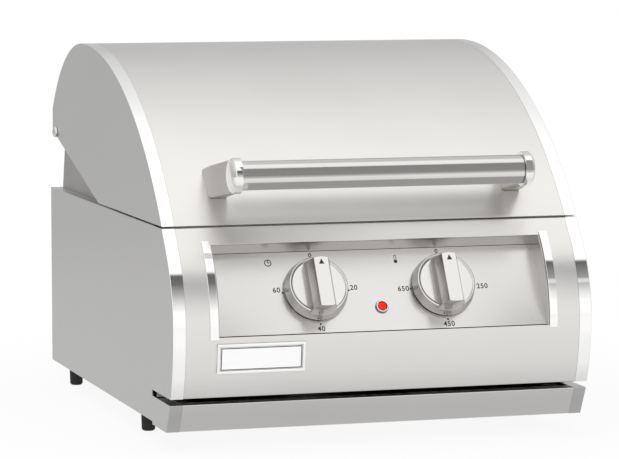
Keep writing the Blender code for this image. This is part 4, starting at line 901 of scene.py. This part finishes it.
def make_lamp():
    ring = [(LAMP_BORE, GAP), (LAMP_RADIUS, GAP), (LAMP_RADIUS, LAMP_RIM / 2), (0.0056, LAMP_RIM),
            (0.0048, LAMP_RIM), (LAMP_BORE, 0.0012)]
    # The ring's upright and leaning faces take the dark painted shade
    piece("lamp_ring_fine", placed(painted_shade_by_facing(lathe(ring, 64, ring=True)), on_plate(0, LAMP_UP)), "root",
          [chrome, nickel_painted_shade_dark, nickel_painted_shade_dark], ["lamp_ring"])
    lens = [(0, GAP), (LENS_RADIUS, GAP), (LENS_RADIUS, LENS_EDGE)]
    lens += [(LENS_RADIUS * math.cos(t), LENS_EDGE + LENS_DOME * math.sin(t)) for t in quarter(8)]
    lens.append((0, LENS_EDGE + LENS_DOME))
    piece("lamp_lens_fine", placed(lathe(lens, 64), on_plate(0, LAMP_UP)), "root", [red], ["lamp_lens"])


def rect_ring(width, height, profile):
    """A mitred frame round a rectangle. The profile is (inset, rise) pairs, a closed loop."""
    bm = bmesh.new()
    rows = []
    for inset, rise in profile:
        w, h = width / 2 - inset, height / 2 - inset
        rows.append([bm.verts.new((x, y, rise)) for x, y in ((-w, -h), (w, -h), (w, h), (-w, h))])
    return skinned(bm, rows + rows[:1])


BADGE_X = -0.11805
BADGE_Z = 0.06565
BADGE_WIDTH = 0.0825
BADGE_HEIGHT = 0.0275
BADGE_INSET = 0.0031
BADGE_PLATE = 0.0014
BADGE_FRAME = [(0, 0), (0, 0.0019), (0.0005, 0.0024), (0.0022, 0.0024), (0.0028, 0.0018), (0.0028, 0)]
BADGE_LINE = [(0, 0.00141), (0, 0.00146), (0.0008, 0.00146), (0.0008, 0.00141)]
BADGE_EDGE = 0.0001


def make_badge():
    low = Vector((BADGE_X, *at_height(FRONT, BADGE_Z - BADGE_HEIGHT / 2)))
    high = Vector((BADGE_X, *at_height(FRONT, BADGE_Z + BADGE_HEIGHT / 2)))
    up = (high - low).normalized()
    out = Vector((1, 0, 0)).cross(up)
    bulge = max(out.dot(Vector((BADGE_X, *p)) - low) for p in between(FRONT, low.z, high.z))
    turn = Matrix((Vector((1, 0, 0)), up, out)).transposed().to_4x4()
    place = Matrix.Translation((low + high) / 2 + out * (bulge + GAP)) @ turn
    piece("badge_frame_fine", placed(rect_ring(BADGE_WIDTH, BADGE_HEIGHT, BADGE_FRAME), place), "root",
          [polished], ["badge_frame"], edge=BADGE_EDGE)
    half_width, half_height = BADGE_WIDTH / 2 - BADGE_INSET, BADGE_HEIGHT / 2 - BADGE_INSET
    plate = block((-half_width, -half_height, 0), (half_width, half_height, BADGE_PLATE))
    piece("badge_plate_fine", placed(plate, place), "root", [enamel], ["badge_plate"],
          edge=BADGE_EDGE)
    inset = BADGE_LINE[-1][0]
    line = rect_ring(2 * half_width - inset, 2 * half_height - inset, BADGE_LINE)
    piece("badge_line", placed(line, place), "root", [ink])


BOLT_RADIUS = 0.0055
BOLT_FLAT = 0.0012
BOLT_DOME = 0.0030
BOLT_EDGE = 0.0004
SHANK_RADIUS = 0.003
NUT_RADIUS = 0.005
NUT_HEIGHT = 0.0047
LINER_INSET = 0.0123


def make_hinge():
    head = [(BOLT_RADIUS * math.sin(t), BOLT_FLAT + BOLT_DOME * math.cos(t)) for t in quarter(10) + [math.pi / 2]]
    shank = -(LINER_INSET + SHEET + 2 * GAP)
    below = rounded([(BOLT_RADIUS, BOLT_FLAT), (BOLT_RADIUS, 0), (SHANK_RADIUS, 0), (SHANK_RADIUS, shank),
                     (NUT_RADIUS, shank), (NUT_RADIUS, shank - NUT_HEIGHT), (0, shank - NUT_HEIGHT)], BOLT_EDGE)
    bolt = [(0, BOLT_FLAT + BOLT_DOME)] + head + below[1:]
    for side, name in SIDES:
        place = pointing((side * (HALF + GAP), PIVOT_Y, PIVOT_Z), (side, 0, 0))
        piece("pivot_bolt_fine_" + name, placed(lathe(bolt, 64), place), "root", [nickel],
              ["pivot_bolt_" + name])


LINER_FOOT = 0.030
LINER_TOP = 0.1915
LINER_EDGE = 0.00025
EAR_RADIUS = 0.0135
EAR_FRONT = 0.300
EAR_REAR = 0.4496


def make_liners():
    rear = BODY_REAR - SHEET - GAP
    lean = math.degrees(math.atan2(rear - EAR_REAR, PIVOT_Z - BODY_HEIGHT))
    ear = arc((PIVOT_Y, PIVOT_Z), EAR_RADIUS, lean, 150, 5)
    outline = [(LEDGE_DEPTH, LINER_FOOT), (rear, LINER_FOOT), (rear, BODY_HEIGHT)] + ear
    outline += [(EAR_FRONT, LINER_TOP), (LEDGE_DEPTH, LINER_TOP)]
    for side, name in SIDES:
        x_out = side * (HALF - LINER_INSET)
        piece("liner_fine_" + name, prism(outline, x_out - side * SHEET, x_out), "root",
              [plain], ["liner_" + name], edge=LINER_EDGE)


ELEMENT_PITCH = 0.3 / 7
ELEMENT_FRONT = 0.115
ELEMENT_REAR = 0.400
ELEMENT_TAIL = 0.4545
ELEMENT_OUTER_FRONT = 0.099
ELEMENT_HEIGHT = 0.132
ELEMENT_RADIUS = 0.004


def element_route():
    """Eight passes front to back, symmetrical, with both tails leaving at the rear by the middle."""
    bend = ELEMENT_PITCH / 2
    steps = 18
    half = [(bend, ELEMENT_TAIL)]
    at_front = True
    for x in (bend, bend + ELEMENT_PITCH, bend + 2 * ELEMENT_PITCH):
        y = ELEMENT_FRONT + bend if at_front else ELEMENT_REAR - bend
        for i in range(steps + 1):
            t = math.pi * i / steps
            reach = math.sin(t) * bend
            half.append((x + bend - math.cos(t) * bend, y - reach if at_front else y + reach))
        at_front = not at_front
    outer_x = half[-1][0]
    for i in range(steps // 2 + 1):
        t = math.pi * i / steps
        half.append((outer_x - bend + math.cos(t) * bend, ELEMENT_OUTER_FRONT + bend - math.sin(t) * bend))
    points = [(x, y, ELEMENT_HEIGHT) for x, y in half]
    return points + [(-x, y, z) for x, y, z in points[::-1]]


INLET_X = -0.130
INLET_Z = 0.060
INLET_FACE = 0.4667
# Width, height and corner radius
INLET_FLANGE = (0.0580, 0.0380, 0.0050)
INLET_BODY = (0.0460, 0.0260, 0.0030)
INLET_WELL = (0.0300, 0.0210, 0.0030)
INLET_FLANGE_BACK = -0.0022
INLET_BODY_END = -0.0155
INLET_PINS = ((-0.0070, -0.0020), (0.0, 0.0022), (0.0070, -0.0020))
PIN_HALF_WIDTH = 0.0010
PIN_HALF_HEIGHT = 0.0031


def rounded_box(width, height, radius, low, high):
    """A block with rounded upright edges, standing on the XY plane."""
    section = rounded_section(width, height, radius)
    bm = bmesh.new()
    return skinned(bm, [[bm.verts.new((a, b, rise)) for a, b in section] for rise in (low, high)])


def rounded_ring(sections):
    """A closed ring through rounded sections (width, height, radius, rise), each following the last."""
    bm = bmesh.new()
    rows = [[bm.verts.new((a, b, rise)) for a, b in rounded_section(width, height, radius)]
            for width, height, radius, rise in sections]
    return skinned(bm, rows + rows[:1])


def make_inlet():
    """The power inlet: a flanged housing with a well and three pins."""
    place = Matrix.Translation((INLET_X, INLET_FACE, INLET_Z)) @ Euler((-math.pi / 2, 0, 0)).to_matrix().to_4x4()
    housing = rounded_ring([(*INLET_FLANGE, INLET_FLANGE_BACK), (*INLET_FLANGE, -0.0008),
                            (0.0560, 0.0360, 0.0042, 0.0), (0.0330, 0.0240, 0.0040, 0.0), (*INLET_WELL, -0.0012),
                            (0.0290, 0.0200, 0.0028, INLET_BODY_END), (*INLET_BODY, INLET_BODY_END),
                            (*INLET_BODY, INLET_FLANGE_BACK)])
    floor = rounded_box(*INLET_WELL, -0.0190, INLET_BODY_END - GAP)
    piece("power_inlet_fine", placed(joined(housing, floor), place), "root", [plastic],
          ["power_inlet"])
    low = (-PIN_HALF_WIDTH, -PIN_HALF_HEIGHT, -0.0157)
    high = (PIN_HALF_WIDTH, PIN_HALF_HEIGHT, -0.0030)
    pins = [placed(block(low, high), place @ Matrix.Translation((x, y, 0))) for x, y in INLET_PINS]
    piece("power_inlet_pins", joined(*pins), "root", [nickel], edge=0.0003)


def make_element():
    piece("heating_element_fine", tube(element_route(), ELEMENT_RADIUS), "root", [sheath],
          ["heating_element"])


FOOT_INSET = 0.015
FOOT_ROWS = ((0.112, "front"), (0.418, "rear"))


def make_feet():
    nut_foot = SHEET + GAP
    profile = rounded([(0, -FOOT_HEIGHT), (0.0049, -FOOT_HEIGHT), (0.0064, -0.0192), (0.0069, -0.0024),
                       (0.0070, -GAP), (SHANK_RADIUS, -GAP), (SHANK_RADIUS, nut_foot), (NUT_RADIUS, nut_foot),
                       (NUT_RADIUS, NUT_HEIGHT), (0, NUT_HEIGHT)], 0.0006)
    for y, row in FOOT_ROWS:
        for side, name in SIDES:
            node = "foot_" + row + "_" + name
            place = Matrix.Translation((side * (HALF - FOOT_INSET), y, 0))
            piece(node + "_fine", placed(lathe(profile, 64), place), "root", [rubber], [node])


# Repeated pieces, by geometry nodes

class Nodes:
    """A geometry tree with named inputs."""

    def __init__(self, name):
        self.tree = bpy.data.node_groups.new(name, "GeometryNodeTree")
        self.tree.interface.new_socket("Geometry", in_out="OUTPUT", socket_type="NodeSocketGeometry")
        self.inputs = self.tree.nodes.new("NodeGroupInput")
        self.output = self.tree.nodes.new("NodeGroupOutput")

    def size(self, name, value, kind="NodeSocketFloat"):
        socket = self.tree.interface.new_socket(name, in_out="INPUT", socket_type=kind)
        socket.default_value = value
        return Wire(self.tree, self.inputs.outputs[name])

    def node(self, kind, settings=None, output=0, **values):
        return add_node(self.tree, kind, settings, output, values)

    def vector(self, x, y, z):
        return self.node("ShaderNodeCombineXYZ", in0=x, in1=y, in2=z)

    def join(self, *parts):
        node = self.tree.nodes.new("GeometryNodeJoinGeometry")
        for part in parts:
            self.tree.links.new(part.source, node.inputs[0])
        return Wire(self.tree, node.outputs[0])

    def finish(self, geometry, material):
        real = self.node("GeometryNodeRealizeInstances", Geometry=geometry)
        dressed = self.node("GeometryNodeSetMaterial", Geometry=real, Material=material)
        self.tree.links.new(dressed.source, self.output.inputs[0])


def grown(name, nodes, body, stands_for=()):
    """Runs a geometry tree on an empty mesh and keeps its result as a plain piece."""
    obj = bpy.data.objects.new(name, bpy.data.meshes.new(name))
    bpy.context.scene.collection.objects.link(obj)
    obj.modifiers.new("grown", "NODES").node_group = nodes.tree
    bake(obj)
    obj.data.transform(Matrix.Translation(SET_DOWN))
    obj.data.shade_smooth()
    obj.data.set_sharp_from_angle(angle=math.radians(35))
    set_on(obj, body, stands_for)


GRATE_MIDDLE = 0.260
CROSS_BAR_DROP = 0.005


def make_grate():
    g = Nodes("grate bars")
    count = g.size("Bars", 22, "NodeSocketInt")
    pitch = g.size("Pitch", 0.332 / 21)
    length = g.size("Bar length", 0.336)
    radius = g.size("Bar radius", 0.003)
    height = g.size("Bar height", 0.175)
    cross_radius = g.size("Cross bar radius", 0.004)
    cross_length = g.size("Cross bar length", 0.356)
    cross_pitch = g.size("Cross bar pitch", 0.156)
    bar = g.node("GeometryNodeMeshCylinder", {"fill_type": "TRIANGLE_FAN"}, Vertices=16, Radius=radius, Depth=length)
    lying = g.node("GeometryNodeTransform", Geometry=bar, Rotation=Euler((math.pi / 2, 0, 0)))
    start = g.vector((count - 1) * pitch * -0.5, GRATE_MIDDLE, height)
    row = g.node("GeometryNodeMeshLine", Count=count, Start_Location=start, Offset=g.vector(pitch, 0.0, 0.0))
    bars = g.node("GeometryNodeInstanceOnPoints", Points=row, Instance=lying)
    cross = g.node("GeometryNodeMeshCylinder", {"fill_type": "TRIANGLE_FAN"}, Vertices=20, Radius=cross_radius,
                   Depth=cross_length)
    turned = g.node("GeometryNodeTransform", Geometry=cross, Rotation=Euler((0, math.pi / 2, 0)))
    first = g.vector(0.0, cross_pitch * -1.0 + GRATE_MIDDLE, height - CROSS_BAR_DROP)
    line = g.node("GeometryNodeMeshLine", Count=3, Start_Location=first, Offset=g.vector(0.0, cross_pitch, 0.0))
    crosses = g.node("GeometryNodeInstanceOnPoints", Points=line, Instance=turned)
    g.finish(g.join(bars, crosses), polished)
    grown("cooking_grate_fine", g, "root", ["cooking_grate"])


def make_screws():
    """Cross-headed screws, by geometry nodes: one head, cut once, set along two lines on the rear wall."""
    g = Nodes("screw rows")
    count = g.size("Screws in a row", 4, "NodeSocketInt")
    pitch = g.size("Pitch", 0.046)
    foot = g.size("Lowest", 0.0205)
    apart = g.size("Rows apart", 0.384)
    radius = g.size("Head radius", 0.0032)
    rise = g.size("Head height", 0.0016)
    shaft = g.size("Wall", BODY_REAR + GAP)
    head = g.node("GeometryNodeMeshCylinder", {"fill_type": "NGON"}, Vertices=32, Side_Segments=1, Fill_Segments=1,
                  Radius=radius, Depth=rise)
    slot = g.node("GeometryNodeMeshCube", Size=g.vector(radius * 1.3, radius * 0.28, rise))
    other = g.node("GeometryNodeTransform", Geometry=slot, Rotation=Euler((0, 0, math.pi / 2)))
    cross = g.node("GeometryNodeMeshBoolean", {"operation": "UNION"}, Mesh_2=g.join(slot, other))
    cutters = g.node("GeometryNodeTransform", Geometry=cross, Translation=g.vector(0.0, 0.0, rise * 0.55))
    cut = g.node("GeometryNodeMeshBoolean", {"operation": "DIFFERENCE"}, Mesh_1=head, Mesh_2=cutters)
    upright = g.node("GeometryNodeTransform", Geometry=cut, Rotation=Euler((-math.pi / 2, 0, 0)))
    rows = []
    for side in (-0.5, 0.5):
        start = g.vector(apart * side, shaft + rise * 0.5, foot)
        line = g.node("GeometryNodeMeshLine", Count=count, Start_Location=start, Offset=g.vector(0.0, 0.0, pitch))
        rows.append(g.node("GeometryNodeInstanceOnPoints", Points=line, Instance=upright))
    g.finish(g.join(*rows), nickel)
    grown("rear_screws", g, "root")


# Marks on the plate

MARK_HALF = 0.00002
LINE_WIDTH = 0.0008


def words(text, cap_height):
    """Flat letters as a thin mesh, cap_height high, standing on the origin."""
    curve = bpy.data.curves.new("mark " + text, "FONT")
    curve.body = text
    curve.size = cap_height / 0.7
    curve.align_x = "CENTER"
    curve.extrude = MARK_HALF
    curve.offset = cap_height * 0.024
    curve.space_character = 1.10
    curve.resolution_u = 4
    obj = bpy.data.objects.new("mark " + text, curve)
    bpy.context.scene.collection.objects.link(obj)
    bpy.context.view_layer.update()
    mesh = bpy.data.meshes.new_from_object(obj.evaluated_get(bpy.context.evaluated_depsgraph_get()))
    bpy.data.objects.remove(obj)
    bm = bmesh.new()
    bm.from_mesh(mesh)
    bpy.data.meshes.remove(mesh)
    return bm


def dot(radius=0.00095):
    return lathe([(0, -MARK_HALF), (radius, -MARK_HALF), (radius, MARK_HALF), (0, MARK_HALF)], 20)


def bar_mark(x0, y0, x1, y1, width=LINE_WIDTH):
    start, end = Vector((x0, y0, 0)), Vector((x1, y1, 0))
    along = (end - start).normalized()
    side = Vector((-along.y, along.x, 0)) * width / 2
    corners = (start - side, end - side, end + side, start + side)
    bm = bmesh.new()
    return skinned(bm, [[bm.verts.new((c.x, c.y, z)) for c in corners] for z in (-MARK_HALF, MARK_HALF)])


def circle_mark(radius, width=LINE_WIDTH):
    inner = radius - width
    return lathe([(inner, -MARK_HALF), (radius, -MARK_HALF), (radius, MARK_HALF), (inner, MARK_HALF)], 48, ring=True)


DIAL_NUMBERS = (
    # number, its place on the plate, and its dot's
    ("60", -0.0972, 0.0419, -0.0917, 0.0413), ("20", -0.0238, 0.0419, -0.0289, 0.0415),
    ("40", -0.0605, 0.0025, -0.0606, 0.0093), ("650", 0.0235, 0.0390, 0.0305, 0.0411),
    ("250", 0.1001, 0.0390, 0.0924, 0.0412), ("450", 0.0617, 0.0025, 0.0613, 0.0094))
NUMBER_HEIGHT = 0.0048
ZERO_HEIGHT = 0.0043
ZERO_UP = 0.0757
ZERO_ASIDE = 0.0004
CLOCK = (-0.1013, 0.0713)
CLOCK_RADIUS = 0.0034
HEAT_X, HEAT_UP = 0.0205, 0.0712
BULB_RADIUS = 0.0017
BULB_DROP = 0.0024
STEM_HALF = 0.0009
STEM_HEIGHT = 0.0048
STEM_LINE = 0.0005


def make_marks():
    """The numbers with their dots, a clock over the timer and a thermometer over the thermostat."""
    marks = []

    def put(bm, x, up):
        marks.append(placed(bm, on_plate(x, up, 2 * MARK_HALF)))

    for side in (-1, 1):
        put(words("0", ZERO_HEIGHT), side * DIAL_X + ZERO_ASIDE, ZERO_UP)
    for number, x, up, dot_x, dot_up in DIAL_NUMBERS:
        put(words(number, NUMBER_HEIGHT), x, up)
        put(dot(), dot_x, dot_up)
    put(circle_mark(CLOCK_RADIUS), *CLOCK)
    put(bar_mark(0, 0, 0, CLOCK_RADIUS - 0.0010), *CLOCK)
    put(bar_mark(0, 0, CLOCK_RADIUS / 2, 0), *CLOCK)
    put(circle_mark(BULB_RADIUS), HEAT_X, HEAT_UP - BULB_DROP)
    put(dot(STEM_HALF), HEAT_X, HEAT_UP - BULB_DROP)
    for x0, y0, x1 in ((-STEM_HALF, 0, -STEM_HALF), (STEM_HALF, 0, STEM_HALF), (-STEM_HALF, STEM_HEIGHT, STEM_HALF)):
        put(bar_mark(x0, y0, x1, STEM_HEIGHT, STEM_LINE), HEAT_X, HEAT_UP - 0.0010)
    piece("dial_marks", joined(*marks), "root", [ink])


make_hood()
make_front()
make_recess()
make_tray()
make_handle()
make_knobs()
make_lamp()
make_badge()
make_hinge()
make_liners()
make_element()
make_drip_pan()
make_inlet()
make_grate()
make_screws()
make_feet()
make_marks()


# Studio

def flat(name, corners):
    """A flat face as an object, with the tree and the shader of its own material."""
    bm = bmesh.new()
    bm.faces.new([bm.verts.new(corner) for corner in corners])
    mesh = bpy.data.meshes.new(name)
    bm.to_mesh(mesh)
    bm.free()
    obj = bpy.data.objects.new(name, mesh)
    bpy.context.scene.collection.objects.link(obj)
    material, s, principled = new_finish(name)
    mesh.materials.append(material)
    return obj, s, principled


def make_floor():
    """White to the camera. Metal sees a painted shadow on it: darker close to the grill, and 0.66 from the grill's
    front back.
    """
    floor, s, principled = flat("floor", [(-3, -5, 0), (3, -5, 0), (3, 1.4, 0), (-3, 1.4, 0)])
    set_up(s, principled, Base_Color=colour_of(0.90), Roughness=0.7)
    place = s.place()
    depth = s.axes(place)[1]
    reach = s.node("VectorMath", {"operation": "LENGTH"}, 1, in0=place)
    # Painted shadow seen only in metal: a ramp darkening towards the grill's front, and a flat 0.66 from there back
    front = s.ramp(depth * -1.0 - 0.24, [(0.0, 0.55), (0.03, 0.71), (0.055, 0.78), (0.09, 0.91), (0.40, 1.03)])
    painted_floor_shadow = s.blend(depth.between(-0.26, -0.20), front, colour_of(0.66))
    painted_shadow_glow = s.node("Emission", Color=painted_floor_shadow, Strength=1.0)
    white = s.node("Emission", Color=(1, 1, 1, 1), Strength=1.0)
    lit = Wire(s.tree, principled.outputs["BSDF"])
    in_metal = s.node("MixShader", in0=s.ray("Glossy") * 0.9, in1=lit, in2=painted_shadow_glow)
    to_camera = s.ray("Camera") * (reach.between(0.25, 0.75) * 0.10 + 0.90)
    s.show(s.node("MixShader", in0=to_camera, in1=in_metal, in2=white))


def make_world():
    """White to the camera. Metal sees the same white room, greyer to the sides and low down behind."""
    world = bpy.data.worlds.new("studio")
    bpy.context.scene.world = world
    world.use_nodes = True
    s = Shader(world.node_tree)
    x, y, z = s.axes(s.node("TexCoord", output=0))
    height = z * 0.5 + 0.5
    front = s.ramp(height, [(0.50, 1.06), (0.80, 1.08), (0.92, 1.12), (1.0, 1.25)])
    rear = s.ramp(height, [(0.45, 0.58), (0.52, 0.56), (0.66, 0.56), (0.82, 0.75), (0.885, 0.84), (0.935, 0.95),
                           (0.965, 1.10), (1.0, 1.25)])
    room = s.blend((y * -1.0).between(-0.12, 0.12), rear, front)
    sideways = x.math("ABSOLUTE").between(0.55, 0.95)
    room = s.blend(sideways, room, s.ramp(height, [(0.45, 0.50), (0.6, 0.55), (0.8, 0.8), (1.0, 1.1)]))
    to_camera = s.ray("Camera").math("MAXIMUM", s.ray("Transmission"))
    lit = s.blend(s.ray("Glossy"), (0.55, 0.55, 0.56, 1), room)
    set_up(s, world.node_tree.nodes["Background"], Color=s.blend(to_camera, lit, (1, 1, 1, 1)), Strength=1.0)


def make_painted_reflection(name, low, high, axis, stops):
    """A flat card between two corners that only metal sees: a painted reflection of light and shade. The stops run
    along the axis.
    """
    level = [i for i in range(3) if low[i] == high[i]][0]
    a, b = [i for i in range(3) if i != level]
    corners = [Vector(low) for _ in range(4)]
    corners[1][a] = corners[2][a] = high[a]
    corners[2][b] = corners[3][b] = high[b]
    card, s, _ = flat(name, corners)
    share = (s.axes(s.place())[axis] - low[axis]) * (1 / (high[axis] - low[axis]))
    s.show(s.node("Emission", Color=s.ramp(share, stops), Strength=1.0))
    for ray in ("camera", "diffuse", "transmission", "volume_scatter", "shadow"):
        setattr(card, "visible_" + ray, False)


def make_lamp_light(name, place, target, width, height, power):
    light = bpy.data.lights.new(name, "AREA")
    light.shape = "RECTANGLE"
    light.size = width
    light.size_y = height
    light.energy = power
    lamp = bpy.data.objects.new(name, light)
    lamp.location = place
    lamp.rotation_euler = (Vector(target) - Vector(place)).to_track_quat("-Z", "Y").to_euler()
    lamp.visible_glossy = False
    lamp.visible_camera = False
    bpy.context.scene.collection.objects.link(lamp)


# The camera, fitted to the box's edges and to the circle of the hood's end
CAMERA_PLACE = (-0.89709, -2.94946, 0.47933)
CAMERA_TILT = 84.371
CAMERA_TURN = -16.938
CAMERA_LENS = 184.06
CAMERA_SENSOR = 36
CAMERA_REACH = 50


def make_camera():
    data = bpy.data.cameras.new("camera")
    data.sensor_width = CAMERA_SENSOR
    data.lens = CAMERA_LENS
    data.clip_end = CAMERA_REACH
    camera = bpy.data.objects.new("camera", data)
    camera.location = CAMERA_PLACE
    camera.rotation_euler = (math.radians(CAMERA_TILT), 0, math.radians(CAMERA_TURN))
    bpy.context.scene.collection.objects.link(camera)
    bpy.context.scene.camera = camera


make_floor()
make_world()
# Painted reflections: cards that only metal sees, darkening the bands, the handle tube, the hood, the plate and the
# seam
make_painted_reflection("left_painted_reflection", (-0.135, -0.53, 0.20), (-0.020, -0.53, 0.49), 2,
          [(0.0, 1.0), (0.35, 0.45), (0.62, 0.16), (0.91, 0.12), (1.0, 0.80)])
make_painted_reflection("right_painted_reflection", (0.27, -0.53, 0.19), (0.42, -0.53, 0.50), 2,
          [(0.0, 1.0), (0.15, 0.8), (0.315, 0.48), (0.325, 0.75), (0.41, 0.75), (0.425, 0.34), (0.92, 0.11),
           (1.0, 0.75)])
make_painted_reflection("handle_painted_reflection", (-0.134, -0.250, 0.2450), (0.152, -0.250, 0.2720), 2,
          [(0.0, 0.80), (0.18, 0.33), (1.0, 0.30)])
make_painted_reflection("lid_painted_reflection", (-0.122, -0.2310, 0.300), (0.165, -0.2055, 0.300), 0,
          [(0.0, 0.74), (1.0, 0.70)])
make_painted_reflection("hood_painted_reflection", (-0.122, -0.2165, 0.275), (0.165, -0.1960, 0.275), 0,
          [(0.0, 0.56), (1.0, 0.38)])
make_painted_reflection("plate_painted_reflection", (-0.155, -0.254, 0.2250), (0.158, -0.2421, 0.2250), 0,
          [(0.0, 0.66), (1.0, 0.82)])
make_painted_reflection("tube_painted_reflection", (-0.125, -0.254, 0.2262), (0.141, -0.2135, 0.2262), 0,
          [(0.0, 0.42), (1.0, 0.42)])
make_painted_reflection("seam_painted_reflection", (-0.125, -0.242, 0.225), (0.158, -0.2135, 0.225), 0,
          [(0.0, 0.46), (0.12, 0.62), (0.5, 0.88), (1.0, 0.92)])
make_lamp_light("overhead", (-0.3, -0.3, 2.2), (0, 0, 0.1), 2.4, 2.0, 22)
make_lamp_light("front fill", (-1.2, -2.6, 1.2), (0, 0, 0.15), 1.8, 1.4, 26)
make_camera()
bpy.context.scene.view_settings.view_transform = "Standard"
